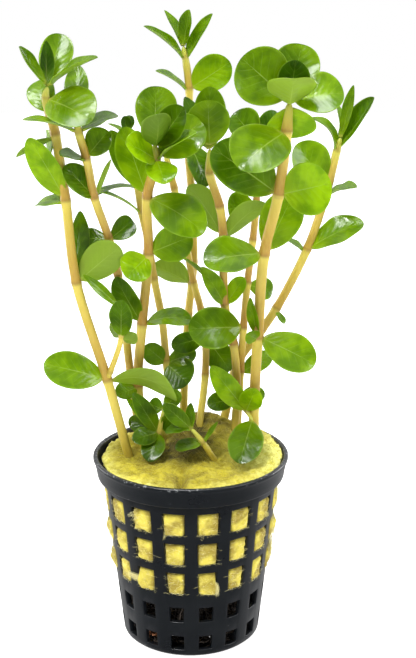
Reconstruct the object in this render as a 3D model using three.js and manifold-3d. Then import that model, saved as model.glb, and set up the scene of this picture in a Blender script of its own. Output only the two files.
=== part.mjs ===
// Rotala colorata, a red-stemmed aquarium plant, standing in rock wool in a black plastic net pot.
// Millimetres, +Z up. The origin is the middle of the pot's underside, and -Y is the plant's front.
import * as THREE from 'three';
import { mergeVertices } from 'three/addons/utils/BufferGeometryUtils.js';
import Module from 'manifold-3d';

const wasm = await Module();
wasm.setup();

// Net pot: a 5 cm pot, 52 mm across its rim
const potHeight = 50.5;
const potWall = 1.2;
const potFloor = 1.4;
const footRadius = 18.5;
const wallFlare = 0.111; // growth of the wall's radius for each millimetre of height
const footChamfer = 0.6;
const rimBottom = 45;
const rimBottomRadius = 24.9;
const rimTopRadius = 26;
const rimWall = 1.2;
const rimEdge = 0.4;
const basketSides = 16; // one flat for each column of holes
const rimSides = 32;
const columns = 16;
const holeRows = [
  { height: 39.4, width: 5.8, tall: 6.2 },
  { height: 30.8, width: 5.3, tall: 6.2 },
  { height: 22.2, width: 4.8, tall: 6.2 },
  { height: 12.7, width: 3.7, tall: 4.4 },
  { height: 4.1, width: 3.5, tall: 4.2 },
];
const floorSlots = { count: 6, inner: 7, outer: 15.5, width: 2.6 };

// Rock wool: fills the upper three rows of the pot and rises to a hump behind the middle
const woolFoot = 17.6;
const woolEdge = 49.2;
const woolGap = 0.5;
const hump = { x: 3, y: 8, wide: 16, deep: 9.5, height: 9.3 };
const woolCleft = { x: -2.5, width: 2, depth: 1.6, reach: -10 };

// Stems and leaves
const rootDepth = 7;
const gap = 0.35; // clearance between neighbouring solids
const leafGap = 0.6; // clearance of a separate leaf's base from its stem
const shootStart = 3.5; // where a shoot begins, measured along it from the middle of its stem
const stemSides = 6;
const stemStep = 11;
const leafThickness = 0.6;
const leafSides = 4;
const leafSteps = 6;
const smallLeafSteps = 4;

const finish = {
  pot: { color: 0x25282b, roughness: 0.38, metalness: 0 },
  wool: { color: 0xd3c566, roughness: 0.95, metalness: 0 },
  stem: { color: 0xc4a468, roughness: 0.45, metalness: 0 },
  leaf: { color: 0x6c9a2c, roughness: 0.3, metalness: 0 },
};

// A leaf grows from one of its stem's points. reach runs from there to the leaf's tip, facing is the way
// its upper side looks, cup lifts its edges and arch its middle. A named leaf is a piece of its own,
// and the others are one piece with their stem.
function leaf(at, reach, facing, width, cup, arch, name) {
  return { at, reach, facing, width, cup, arch, name };
}

const stems = [
  {
    name: 'far_left', thick: 2.4,
    line: [[-16.5, -1.5, 50], [-21.5, -5, 72.5], [-28.5, -6.5, 98.5], [-30.5, -7, 119.5],
      [-32.5, -7, 135.5], [-33.5, -7, 140], [-34.5, -7, 144], [-34, -7, 147]],
    leaves: [
      leaf(1, [-15.5, -4, 5.5], [0, -1, 0.6], 10, 0.1, 0.05, 'low_left'),
      leaf(1, [18, -2, -5], [0, 1, 0.4], 7.5, 0.1, 0.28, 'low_right'),
      leaf(2, [11, 1, 9], [0.2, 1, 0.2], 9.5, 0.1, 0.05, 'middle_right'),
      leaf(2, [1, 7.5, 17], [0.4, -1, 0.2], 6, 0.2, 0, 'middle_back'),
      leaf(3, [-8, -4, 15.5], [-0.3, -1, 0.1], 8, 0.1, -0.03, 'high_left'),
      leaf(3, [-8, 6, -2], [0.1, -0.6, 1], 6, 0.05, 0.08),
      leaf(4, [-3, 9, -8], [0, -1, 0.8], 12, 0.1, 0.05),
      leaf(4, [-10, 2, -5.5], [0, 0.5, 1], 4, 0.1, 0.03),
      leaf(6, [11.5, -8.5, -4.5], [0.2, -1, 0.6], 12.5, 0.12, 0.08, 'upper_right'),
      leaf(5, [-3.5, 5, 8], [-0.2, -1, 0.4], 7.5, 0.1, 0.05, 'upper_left'),
      leaf(7, [-5.5, -6, 9.5], [0.75, -0.6, 0.6], 4.8, 0.45, -0.05, 'top_left'),
      leaf(7, [12.5, -8, 7.5], [-0.3, -0.3, 1], 6.5, 0.35, 0.03, 'top_right'),
      leaf(7, [3, 6, 12], [0, -1, 0.3], 8.5, 0.2, -0.04, 'top_back'),
      leaf(7, [0, 1, 10.5], [0.3, -1, 0.2], 4, 0.4, -0.04),
    ],
  },
  {
    name: 'left', thick: 2.1,
    line: [[-14, 9, 52], [-16, 7.5, 69], [-17, 5, 81.5], [-18.5, 0.5, 99], [-20.5, -2, 109],
      [-23.5, -6, 120], [-25, -9, 130], [-26.5, -11, 136.5], [-27, -11.5, 140.5]],
    leaves: [
      leaf(4, [6, 5, 3.5], [0.3, -1, 0.3], 6, 0.5, 0),
      leaf(4, [-7.5, 3, -1], [0, -1, 0.6], 6, 0.1, 0.1),
      leaf(5, [-7, -3, 8], [0.5, -1, 0.5], 7, 0.15, 0.05),
      leaf(5, [4, 3, 9], [-1, 0.5, 0], 2.8, 0.1, 0),
      leaf(6, [-6, -3, 1], [0, -0.25, 1], 8, 0.1, 0.05),
      leaf(6, [5.5, 0, 6.5], [0.2, -1, 0.7], 7, 0.12, 0.05, 'upper_right'),
      leaf(7, [-13, -1, 3.5], [0, -0.1, 1], 7, 0.1, 0.05, 'top_left'),
      leaf(7, [9, 4, 4], [0, -0.2, 1], 8.5, 0.1, 0.05, 'top_right'),
      leaf(8, [0, 10, 11.5], [0.1, -1, 0.5], 6.5, 0.2, 0),
    ],
  },
  {
    name: 'tallest', thick: 2.1,
    line: [[-2, 13, 55], [-1.5, 14, 69], [-0.5, 15, 84.5], [0.5, 15.5, 93], [1, 16, 99],
      [0.5, 16.5, 117.5], [-0.5, 17, 131.5], [0, 17, 144.5], [-1, 17, 152.5],
      [-1.5, 17, 155.5]],
    leaves: [
      leaf(3, [-10.5, -3, 6], [0, 0.9, 0.6], 8.5, 0.1, 0.03, 'low_left'),
      leaf(6, [5, -3, -12], [0.5, -1, 0.4], 7.5, 0.15, 0.08),
      leaf(7, [10.5, -3, 7], [0, -1, 0.15], 9.5, 0.12, 0, 'upper_right'),
      leaf(7, [-8.5, -1, 5], [0.2, -0.15, 1], 5.5, 0.2, 0.05),
      leaf(8, [-10.5, -2, 8], [0.4, -0.3, 1], 5.5, 0.35, 0.05),
      leaf(8, [7, -1, 11], [-0.5, -0.6, 0.6], 4.8, 0.45, 0),
      leaf(9, [-4.5, 2, 9], [0.7, -0.5, 0.4], 4, 0.35, 0),
      leaf(9, [1.5, -1, 9], [-0.5, -0.7, 0.1], 4.5, 0.35, 0),
    ],
  },
  {
    name: 'centre_left', thick: 2.5,
    line: [[-12.5, 6.5, 52.5], [-14, 5, 67.5], [-12.5, 1.5, 85.5], [-10.5, -2, 105],
      [-10.5, -6, 120], [-8, -9, 130], [-8.5, -10, 133.5]],
    leaves: [
      leaf(1, [-5.5, -5, -1], [-0.2, -1, 0.6], 5.5, 0.1, 0.05),
      leaf(2, [-6.5, -3, 13], [-0.3, -1, 0.2], 7, 0.15, 0.03, 'low_left'),
      leaf(2, [13, -2, 1.5], [0, -0.4, 1], 8.5, 0.1, 0.12, 'low_right'),
      leaf(3, [-5.5, -5, -5], [0, -1, 0.3], 9, 0.15, 0.05),
      leaf(3, [11, -3, 5], [0, -1, 0.2], 9.5, 0.12, 0.03, 'middle_right'),
      leaf(4, [-5.5, 1, 17], [0.3, -1, 0.1], 9, 0.12, -0.03, 'high_left'),
      leaf(4, [14, -6, -7.5], [0.2, -1, 0.8], 12, 0.12, 0.08, 'high_right'),
      leaf(5, [-7, -8, 4.5], [-0.2, -1, 0.7], 8.5, 0.15, 0.05),
      leaf(5, [2, -8, -5], [0.2, -1, 0.6], 8, 0.1, 0.08),
      leaf(5, [11, 2, 8.5], [0.1, -1, 0.5], 11, 0.12, 0.03, 'upper_right'),
      leaf(5, [9.5, -7, 7], [0, -0.5, 1], 6.5, 0.2, 0.05),
      leaf(6, [0.5, 4, 13.5], [0, -1, 0.3], 10.5, 0.25, -0.05, 'top_back'),
      leaf(6, [1, -8, 8], [0, -0.6, 1], 8, 0.3, -0.1),
      leaf(6, [7, -4, 9], [-0.2, -1, 0.5], 8.5, 0.3, -0.05),
    ],
  },
  {
    name: 'inner_left', thick: 2,
    line: [[-5, 6, 55.5], [-6.5, 9, 73], [-7.5, 9.5, 84.5], [-9.5, 9, 96], [-11, 8.5, 106.5],
      [-12.5, 8, 114], [-13.5, 8, 121], [-15.5, 8.5, 130.5], [-16, 8.5, 134.5]],
    leaves: [
      leaf(1, [8, -1, 3], [0, -1, 0.5], 5.5, 0.1, 0.05),
      leaf(1, [-5.5, -2, 5], [0, -1, 0.3], 6, 0.1, 0.05),
      leaf(5, [-14, -10, 7.5], [0, -0.3, 1], 3.2, 0.1, 0.08),
      leaf(6, [-11, -8, -1.5], [0, -0.05, 1], 5, 0.1, 0.08),
      leaf(6, [-6.5, -3, 14], [0, -1, 0.3], 7, 0.15, 0.03),
      leaf(8, [-5, 2, 2], [0.3, -0.2, 1], 2.2, 0.2, 0.05),
      leaf(8, [-0.5, -1, 4], [0.4, -1, 0.2], 3, 0.3, 0),
      leaf(8, [1, 1, 4], [-0.4, -1, 0.2], 3.5, 0.3, 0),
      leaf(1, [6, -4, -5], [0, -1, 0.3], 10, 0.1, 0.05),
    ],
  },
  {
    name: 'inner_middle', thick: 1.9,
    line: [[2.5, 5, 57.5], [4, 8, 69.5], [4, 10, 80], [3, 11, 86.5], [1, 11.5, 94],
      [-1, 11.5, 104.5], [-4, 11, 119.5], [-5.5, 11, 125.5], [-6.5, 11, 130]],
    leaves: [
      leaf(2, [7, 2.5, -11], [0.1, -1, 0.4], 8, 0.1, 0.05),
      leaf(2, [-9, -2, -2.5], [0, -1, 0.3], 6, 0.1, 0.05),
      leaf(8, [3, 3, 9], [0, -1, 0.2], 6.5, 0.2, 0),
    ],
  },
  {
    name: 'centre_right', thick: 2.2,
    line: [[12, 6, 55.5], [12.5, 5.5, 64], [11.5, 4.5, 79], [9, 3, 90.5], [8.5, 0, 109],
      [7.5, -1.5, 117], [5, -3, 125.5], [5, -3, 131.5]],
    leaves: [
      leaf(1, [-8, -3, -1], [0, -1, 0.5], 5.5, 0.1, 0.05),
      leaf(1, [7.5, 0, 1], [0, -1, 0.4], 5, 0.1, 0.05),
      leaf(3, [-6, -6, 11], [0.4, -1, 0.2], 5.5, 0.15, 0.05),
      leaf(3, [5, 0, 7], [-0.5, -1, 0.3], 5, 0.2, 0),
      leaf(3, [-13, -3, 14.5], [0.2, 0.3, 1], 4, 0.1, 0.08),
      leaf(4, [-8.5, 1, 13], [0.2, 1, 0.2], 8, 0.1, 0.05, 'middle_left'),
      leaf(4, [10.5, -2, 9], [0, 1, 0.4], 6.5, 0.1, 0.14),
      leaf(7, [-0.5, -2, 12], [0, -1, 0.1], 11, 0.15, 0, 'top_front'),
      leaf(7, [0, 1, 15], [0, -1, 0.2], 8.5, 0.2, 0),
      leaf(7, [-6, 3, 12.5], [0.2, -1, 0.3], 5.5, 0.2, 0),
    ],
  },
  {
    name: 'right', thick: 2.7,
    line: [[17, 4, 53], [17, 2, 65.5], [17.5, -2, 83], [18.5, -8, 106], [21.5, -12, 121.5],
      [23, -15, 137], [23.5, -15.5, 144]],
    leaves: [
      leaf(2, [14.5, -4, -6.5], [0.2, -1, 0.5], 10.5, 0.12, 0.06, 'low_right'),
      leaf(2, [-3, -5, 2], [-0.3, -1, 0.3], 4.5, 0.1, 0.05),
      leaf(2, [-2.5, -6, 11.5], [-0.5, -1, 0.2], 3.5, 0.2, 0),
      leaf(3, [-15, -5, -1], [0, -0.8, 1], 12, 0.15, 0.06, 'middle_left'),
      leaf(3, [7.5, 6, 14], [0, -1, 0.2], 11, 0.1, 0, 'middle_back'),
      leaf(4, [-16, -2, 11.5], [0, -1, 0.25], 13, 0.1, 0.05, 'high_left'),
      leaf(4, [12, -5, 3.5], [0.2, -1, 0.1], 13.5, 0.12, 0.03, 'high_right'),
      leaf(6, [0.5, 3, -9], [0, -1, 0.3], 12.5, 0.1, 0),
      leaf(5, [-11.5, -10, -7.5], [0.1, -0.8, 1], 15, 0.15, 0.08, 'upper_front'),
      leaf(6, [-11.5, -1, 10], [0, -1, 0.3], 14.5, 0.12, 0.02, 'top_left'),
      leaf(6, [12.5, -1.5, 2], [0, -1, 0.8], 11.5, 0.12, 0.08, 'top_right'),
      leaf(6, [3, 4, 13], [0, -1, 0.35], 11.5, 0.2, -0.05, 'top_back'),
      leaf(6, [0, -9.5, 6], [0, 0.4, 1], 12, 0.2, -0.05),
      leaf(6, [1, -3, 9.5], [0, -1, 0.3], 8, 0.1, 0),
    ],
  },
  {
    name: 'leaning_right', thick: 2.3,
    line: [[9.5, 11, 57], [13, 14, 71], [19.5, 15, 80], [23.5, 15.5, 86], [31.5, 16.5, 102],
      [36.5, 17, 117.5], [39, 17.5, 128.5], [40, 17.5, 132]],
    leaves: [
      leaf(3, [2, -3, -3.5], [0.2, -0.3, 1], 2.5, 0.1, 0.05),
      leaf(4, [14.5, -3, 8], [0, -0.8, 1], 9, 0.15, 0.06, 'middle_right'),
      leaf(4, [-6.5, 1, 3], [0, -0.1, 1], 4.5, 0.1, 0.05),
      leaf(5, [7.5, -3, 2], [0, -0.15, 1], 8, 0.15, 0.05),
      leaf(5, [-8.5, -3, 13], [0.2, -1, 0.5], 11.5, 0.12, 0.05, 'high_left'),
      leaf(6, [9, -1, 14], [-0.6, -0.5, 0.5], 7, 0.5, -0.03, 'top_right'),
      leaf(6, [-7, 0, 8.5], [0.3, -0.3, 1], 6, 0.25, 0.2),
      leaf(7, [2.5, -1, 13.5], [-0.6, -1, 0.1], 3.5, 0.3, -0.03),
      leaf(7, [-1.5, 5, 9], [0.5, -0.3, 0.5], 3.5, 0.3, 0.1),
    ],
  },
  {
    name: 'inner_right', thick: 1.9,
    line: [[13, 9.5, 56.5], [13.5, 7.5, 70.5], [14, 3.5, 84], [15, 5, 95.5], [16.5, 9, 106],
      [17.5, 12, 115.5], [17.5, 14, 126.5], [17.5, 14, 131.5]],
    leaves: [
      leaf(1, [8.5, 3, 4], [0, -1, 0.5], 5.5, 0.1, 0.05),
      leaf(2, [-14.5, -7, 1.5], [0, -1, 0.35], 11.5, 0.1, 0.05, 'low_left'),
      leaf(3, [7, 4, -3], [0, -1, 0.3], 6, 0.1, 0.05),
      leaf(5, [-7.5, 2, -2], [0, -1, 0.3], 8, 0.1, 0.05),
      leaf(7, [-6, 1, 7], [0, -1, 0.3], 9, 0.15, 0.05, 'top_left'),
      leaf(7, [5, 1, 7.5], [0, -1, 0.2], 6, 0.15, 0.05),
    ],
  },
];

// Side shoots: the first two grow from a stem, and the others stand in the wool
const shoots = [
  {
    name: 'far_left', thick: 1.4, onStem: true,
    line: [[-21.5, -5.5, 72.5], [-20.5, -6, 75], [-17.5, -6, 84.5], [-18, -6.5, 92.5]],
    leaves: [
      leaf(2, [0.5, -4.5, 10.5], [-0.2, -1, 0.2], 6.5, 0.15, 0.03),
      leaf(2, [-3, 3, 2.5], [0, 1, 0.4], 5, 0.1, 0.05),
      leaf(2, [4, 0, -1.5], [0, 1, 0.5], 4.5, 0.1, 0.05),
      leaf(3, [-8.5, -2, 8.5], [0.5, -1, 0.5], 3.2, 0.15, 0.03),
    ],
  },
  {
    name: 'right', thick: 1.4, onStem: true,
    line: [[12.5, 5.5, 63], [15, 2, 61], [16.5, 0, 59]],
    leaves: [
      leaf(2, [-4, -12, -7], [-0.1, -1, 0.5], 9.5, 0.08, 0.04),
      leaf(1, [-9.5, -1, 13], [0, -1, 0.2], 7, 0.2, 0.05),
      leaf(1, [2, -5, 8], [0, -1, 0.3], 6.5, 0.1, 0.05),
    ],
  },
  {
    name: 'front', thick: 1.6,
    line: [[6, -5, 50.5], [3, -7, 56], [0, -7.5, 60]],
    leaves: [
      leaf(2, [-6.5, -2, -0.5], [0, -0.2, 1], 4.5, 0.1, 0.1),
      leaf(2, [-7, -1, 7], [0, -1, 0.3], 4.8, 0.12, 0.03),
      leaf(2, [0, 1, 6.5], [-0.5, -1, 0.1], 3, 0.15, 0),
      leaf(1, [-7, -1, -1.5], [0, -0.4, 1], 5, 0.1, 0.05),
      leaf(1, [4, 0, 5.5], [-0.3, -0.6, 0.6], 1.6, 0.1, 0),
    ],
  },
  {
    name: 'inner_left', thick: 1.5,
    line: [[-9.5, 1, 52.5], [-8.5, 0.5, 56], [-7, -0.5, 63]],
    leaves: [
      leaf(1, [-6.5, -6, 0], [0, -1, 0.8], 5.5, 0.1, 0.05),
      leaf(1, [-2.5, -8, -5], [0, -1, 1], 6.5, 0.1, 0.08),
      leaf(1, [-8, 2, 3], [0, -1, 0.4], 5, 0.1, 0.05),
      leaf(2, [4, 1, 4.5], [0, -1, 0.3], 4.5, 0.1, 0.05),
      leaf(2, [-4, 1, 1], [0, -1, 0.2], 5, 0.1, 0.05),
      leaf(1, [-6.5, -2, 11.5], [0.2, -1, 0.2], 5.5, 0.1, 0.05),
      leaf(1, [-8.5, 2, 9], [0.3, -1, 0.1], 3, 0.1, 0.05),
      leaf(2, [3, 3, -7.5], [0, -1, 0.3], 6, 0.1, 0.05),
    ],
  },
];

// A three.js geometry as a solid that can be joined and cut
function solid(geometry) {
  const bare = geometry.clone();
  bare.deleteAttribute('normal');
  bare.deleteAttribute('uv');
  const welded = mergeVertices(bare, 1e-4);
  return new wasm.Manifold(new wasm.Mesh({
    numProp: 3,
    vertProperties: new Float32Array(welded.attributes.position.array),
    triVerts: new Uint32Array(welded.index.array),
  }));
}

// A solid back as a named mesh
function piece(name, shape, look) {
  const { vertProperties, triVerts } = shape.getMesh();
  const geometry = new THREE.BufferGeometry();
  geometry.setAttribute('position', new THREE.BufferAttribute(vertProperties, 3));
  geometry.setIndex(new THREE.BufferAttribute(triVerts, 1));
  geometry.computeVertexNormals();
  const mesh = new THREE.Mesh(geometry, new THREE.MeshStandardMaterial(look));
  mesh.name = name;
  return mesh;
}

// A profile of [radius, height] points turned about the upright axis
function turned(profile, sides) {
  const points = profile.map(([radius, height]) => new THREE.Vector2(radius, height));
  return new THREE.LatheGeometry(points, sides).rotateX(Math.PI / 2);
}

function wallRadius(height) {
  return footRadius + wallFlare * height;
}

// The pot: a flared wall with a broad rim band, sixteen columns of holes and a slotted floor
function netPot() {
  const basketTop = rimBottom + 1;
  const basketRadius = wallRadius(basketTop);
  const basket = solid(turned([
    [0, 0],
    [wallRadius(0) - footChamfer, 0],
    [wallRadius(footChamfer), footChamfer],
    [basketRadius, basketTop],
    [basketRadius - potWall, basketTop],
    [wallRadius(potFloor) - potWall, potFloor],
    [0, potFloor],
  ], basketSides));
  const rim = solid(turned([
    [basketRadius - potWall / 2, rimBottom],
    [rimBottomRadius, rimBottom],
    [rimTopRadius, potHeight - rimEdge],
    [rimTopRadius - rimEdge, potHeight],
    [rimTopRadius - rimWall, potHeight],
    [rimBottomRadius - rimWall, basketTop + 0.5],
    [basketRadius - potWall / 2, rimBottom],
  ], rimSides));
  let pot = basket.add(rim);
  for (let column = 0; column < columns; column += 1) {
    const angle = ((column + 0.5) / columns) * 2 * Math.PI;
    for (const row of holeRows) {
      const radius = wallRadius(row.height) - potWall / 2;
      const cutter = new THREE.BoxGeometry(row.width, 3 * potWall, row.tall)
        .translate(0, -radius, row.height)
        .rotateZ(angle);
      pot = pot.subtract(solid(cutter));
    }
  }
  const slotLength = floorSlots.outer - floorSlots.inner;
  for (let slot = 0; slot < floorSlots.count; slot += 1) {
    const cutter = new THREE.BoxGeometry(slotLength, floorSlots.width, 3 * potFloor)
      .translate(floorSlots.inner + slotLength / 2, 0, potFloor / 2)
      .rotateZ((slot / floorSlots.count) * 2 * Math.PI);
    pot = pot.subtract(solid(cutter));
  }
  return pot;
}

// Height of the wool's top: an edge just under the rim, one broad hump and a cleft at the front
function woolTop(x, y) {
  const across = (x - hump.x) / hump.wide;
  const back = (y - hump.y) / hump.deep;
  const rise = hump.height * Math.exp(-across * across - back * back);
  const side = (x - woolCleft.x) / woolCleft.width;
  const cleft = y < woolCleft.reach ? woolCleft.depth * Math.exp(-side * side) : 0;
  const lumps = 0.35 * Math.sin(x * 0.9 + 1) * Math.cos(y * 0.8);
  return woolEdge + rise - cleft + lumps;
}

// The wool plug, with its top pulled up to woolTop and a pocket for each stem that stands in it
function rockWool(pockets) {
  const inside = (height) => wallRadius(height) - potWall - woolGap;
  const topRadii = [inside(44) + 1.1, 21.5, 18, 14, 10, 5.5];
  const profile = [
    [0, woolFoot],
    [inside(woolFoot), woolFoot],
    [inside(30), 30],
    [inside(43.5), 43.5],
    ...topRadii.map((radius) => [radius, woolEdge]),
    [0, woolEdge],
  ];
  const geometry = turned(profile, basketSides);
  const position = geometry.attributes.position;
  for (let i = 0; i < position.count; i += 1) {
    if (position.getZ(i) > woolEdge - 0.1) {
      position.setZ(i, woolTop(position.getX(i), position.getY(i)));
    }
  }
  let wool = solid(geometry);
  for (const pocket of pockets) {
    wool = wool.subtract(pocket);
  }
  return wool;
}

// A round stalk along a smooth line through the stem's points
function stalk(points, radius) {
  const section = new THREE.Shape();
  for (let side = 0; side < stemSides; side += 1) {
    const angle = (side / stemSides) * 2 * Math.PI;
    const corner = [radius * Math.cos(angle), radius * Math.sin(angle)];
    if (side === 0) section.moveTo(...corner);
    else section.lineTo(...corner);
  }
  section.closePath();
  const path = new THREE.CatmullRomCurve3(points);
  const steps = Math.round(path.getLength() / stemStep) + 2;
  return solid(new THREE.ExtrudeGeometry(section, { steps, bevelEnabled: false, extrudePath: path }));
}

// Half width of a rounded leaf, from its narrow base at 0 to its blunt tip at 1
function leafOutline(along) {
  return 1.13 * along ** 0.3 * Math.sqrt(4 * along * (1 - along));
}

// A leaf: a sphere pressed flat into the outline, its edges lifted by cup and its middle by arch
function leafSolid(base, tip, plan, steps) {
  const along = tip.clone().sub(base);
  const length = along.length();
  const forward = along.clone().normalize();
  const up = new THREE.Vector3(...plan.facing);
  up.addScaledVector(forward, -up.dot(forward)).normalize();
  const across = forward.clone().cross(up);
  const geometry = new THREE.SphereGeometry(1, leafSides, steps);
  const position = geometry.attributes.position;
  const point = new THREE.Vector3();
  for (let i = 0; i < position.count; i += 1) {
    point.fromBufferAttribute(position, i);
    const reach = Math.acos(Math.min(1, Math.max(-1, point.y))) / Math.PI;
    const ring = Math.hypot(point.x, point.z);
    const side = ring > 1e-6 ? point.x / ring : 0;
    const face = ring > 1e-6 ? point.z / ring : 0;
    const outline = ring > 1e-6 ? leafOutline(reach) : 0;
    const half = (plan.width / 2) * outline;
    const lift = plan.arch * length * 4 * reach * (1 - reach) + plan.cup * half * side * side;
    const thickness = (leafThickness / 2) * face * Math.min(1, outline * 1.5);
    point.copy(base)
      .addScaledVector(along, reach)
      .addScaledVector(across, -half * side)
      .addScaledVector(up, lift + thickness);
    position.setXYZ(i, point.x, point.y, point.z);
  }
  return solid(geometry);
}

// One stem or shoot with its leaves: the stalk with its unnamed leaves, and each named leaf
function grow(plan, prefix, add) {
  const radius = plan.thick / 2;
  const nodes = plan.line.map((point) => new THREE.Vector3(...point));
  const rise = nodes[1].clone().sub(nodes[0]).normalize();
  const start = plan.onStem
    ? nodes[0].clone().addScaledVector(rise, shootStart)
    : nodes[0].clone().addScaledVector(rise, -rootDepth);
  const line = plan.onStem ? [start, ...nodes.slice(1)] : [start, ...nodes];
  let body = stalk(line, radius);
  for (const blade of plan.leaves) {
    const node = nodes[blade.at];
    const tip = node.clone().add(new THREE.Vector3(...blade.reach));
    const way = tip.clone().sub(node).normalize();
    const before = nodes[Math.max(0, blade.at - 1)];
    const after = nodes[Math.min(nodes.length - 1, blade.at + 1)];
    const stemWay = after.clone().sub(before).normalize();
    const slant = Math.max(0.45, way.clone().cross(stemWay).length());
    const base = blade.name
      ? node.clone().addScaledVector(way, (radius + leafGap) / slant)
      : node.clone().addScaledVector(stemWay, -radius);
    if (blade.name) {
      const shape = leafSolid(base, tip, blade, leafSteps);
      add(piece(`leaf_${plan.name}_${blade.name}`, shape, finish.leaf));
    } else {
      body = body.add(leafSolid(base, tip, blade, smallLeafSteps));
    }
  }
  add(piece(`${prefix}_${plan.name}`, body, finish.stem));
  if (plan.onStem) return null;
  const deeper = start.clone().addScaledVector(rise, -gap);
  return stalk([deeper, ...nodes], radius + gap);
}

const group = new THREE.Group();
const addPiece = (mesh) => group.add(mesh);
const pockets = [];
for (const plan of stems) {
  pockets.push(grow(plan, 'stem', addPiece));
}
for (const plan of shoots) {
  const pocket = grow(plan, 'shoot', addPiece);
  if (pocket) pockets.push(pocket);
}
group.add(piece('net_pot', netPot(), finish.pot));
group.add(piece('rock_wool', rockWool(pockets), finish.wool));

export default group;
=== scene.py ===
import math
from functools import partial

import bpy
import numpy as np
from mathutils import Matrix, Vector


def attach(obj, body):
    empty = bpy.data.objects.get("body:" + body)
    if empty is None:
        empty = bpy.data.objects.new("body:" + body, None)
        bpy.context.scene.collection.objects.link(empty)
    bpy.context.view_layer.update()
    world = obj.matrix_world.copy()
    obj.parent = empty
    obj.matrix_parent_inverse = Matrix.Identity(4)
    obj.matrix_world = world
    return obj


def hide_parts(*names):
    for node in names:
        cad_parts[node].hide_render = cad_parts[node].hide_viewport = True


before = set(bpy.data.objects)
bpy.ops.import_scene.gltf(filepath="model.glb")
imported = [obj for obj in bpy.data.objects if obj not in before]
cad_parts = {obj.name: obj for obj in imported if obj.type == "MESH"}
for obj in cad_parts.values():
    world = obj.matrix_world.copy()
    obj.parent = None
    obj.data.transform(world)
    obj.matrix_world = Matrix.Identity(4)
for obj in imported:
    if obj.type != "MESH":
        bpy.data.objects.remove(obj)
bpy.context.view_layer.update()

# Rotala in rock wool and a black net pot. Lengths in the tables are millimetres, +Z up,
# and the plant's front looks along -Y.
metresPerMm = 0.001


# sRGB hex to linear: c / 12.92 below 0.04045, and ((c + 0.055) / 1.055) ** 2.4 above it
def linear(hexColour):
    parts = [int(hexColour[i:i + 2], 16) / 255 for i in (1, 3, 5)]
    return tuple(c / 12.92 if c <= 0.04045 else ((c + 0.055) / 1.055) ** 2.4 for c in parts) + (1.0,)


# The nodes that the materials use: Blender's name for each, the sockets that its values go to in
# turn, the output that is read, and its settings
nodeKinds = {
    "place": ("TexCoord", (), "Object", {}),
    "direction": ("TexCoord", (), "Generated", {}),
    "map": ("UVMap", (), 0, {}),
    "attribute": ("Attribute", (), "Fac", {}),
    "x": ("SeparateXYZ", (0,), 0, {}),
    "y": ("SeparateXYZ", (0,), 1, {}),
    "z": ("SeparateXYZ", (0,), 2, {}),
    "stretch": ("Mapping", ("Vector", "Scale"), 0, {}),
    "noise": ("TexNoise", ("Vector", "Scale", "Detail", "Roughness", "Distortion"), 0, {}),
    # from one range to another: value, low, high, and what it is at low and at high
    "range": ("MapRange", (0, 1, 2, 3, 4), 0, {}),
    # a smooth step from 0 at low to 1 at high
    "step": ("MapRange", (0, 1, 2), 0, {"interpolation_type": "SMOOTHSTEP"}),
    # a share, the colour where it is 0 and the colour where it is 1
    "blend": ("Mix", (0, 6, 7), 2, {"data_type": "RGBA"}),
    "bump": ("Bump", ("Height", "Strength", "Distance"), 0, {}),
    "skin": ("BsdfPrincipled", (), 0, {}),
    "translucent": ("BsdfTranslucent", ("Color", "Normal"), 0, {}),
    "bothShaders": ("MixShader", (0, 1, 2), 0, {}),
    "surface": ("OutputMaterial", ("Surface",), None, {}),
    "background": ("Background", ("Color", "Strength"), 0, {}),
    "seen": ("LightPath", (), "Is Camera Ray", {}),
    "surroundings": ("OutputWorld", ("Surface",), None, {}),
}
# arithmetic on one or two values
for operation in ("add", "subtract", "multiply", "divide", "power", "minimum", "maximum", "absolute",
                  "pingpong"):
    nodeKinds[operation] = ("Math", (0, 1), 0, {"operation": operation.upper()})


# Adds a node of nodeKinds. A value is a number, a hex colour or the output that feeds the socket, and
# inputs has more of them under the sockets' own names.
def addNode(tree, kind, *values, inputs=None, **settings):
    name, sockets, output, usual = nodeKinds[kind]
    node = tree.nodes.new("ShaderNode" + name)
    for setting, value in (usual | settings).items():
        setattr(node, setting, value)
    for socket, value in (dict(zip(sockets, values)) | (inputs or {})).items():
        if isinstance(value, bpy.types.NodeSocket):
            tree.links.new(value, node.inputs[socket])
        else:
            node.inputs[socket].default_value = linear(value) if isinstance(value, str) else value
    return None if output is None else node.outputs[output]


# A material, the function that adds its nodes and the place on the object that its patterns follow
def newMaterial(name):
    material = bpy.data.materials.new(name)
    material.use_nodes = True
    material.node_tree.nodes.clear()
    add = partial(addNode, material.node_tree)
    return material, add, add("place")


def patternScale(sizeInMm):
    return 1000 / sizeInMm


# Lays so much of a colour over body where share is 1
def tinted(add, body, share, amount, colour):
    return add("blend", add("multiply", share, amount), body, colour)


# Polypropylene, injection moulded and coloured black: satin, faintly uneven from the mould,
# with pale scuffs where the rim's lip has rubbed
def makePlastic():
    material, add, place = newMaterial("black_polypropylene")
    clouds = add("noise", place, patternScale(9), 4, 0.55)
    specks = add("noise", place, patternScale(0.9), 2, 0.4)
    onLip = add("step", add("z", place), 49.5 * metresPerMm, 50.3 * metresPerMm)
    rubbed = add("multiply", add("step", specks, 0.58, 0.7), onLip)
    dust = add("multiply", add("step", specks, 0.76, 0.8), 0.25)
    scuffs = add("maximum", add("multiply", rubbed, 0.5), dust)
    body = add("blend", clouds, "#0a0d11", "#14191e")
    # the real grit, about 0.05 mm, is too fine to show
    grain = add("noise", place, patternScale(0.35), 2, 0.55)
    add("surface", add("skin", inputs={
        "Base Color": add("blend", scuffs, body, "#a9adad"),
        "Roughness": add("range", clouds, 0.3, 0.7, 0.26, 0.38), "IOR": 1.49,
        "Specular IOR Level": 0.6, "Normal": add("bump", grain, 0.12, 0.2 * metresPerMm)}))
    return material


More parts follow.
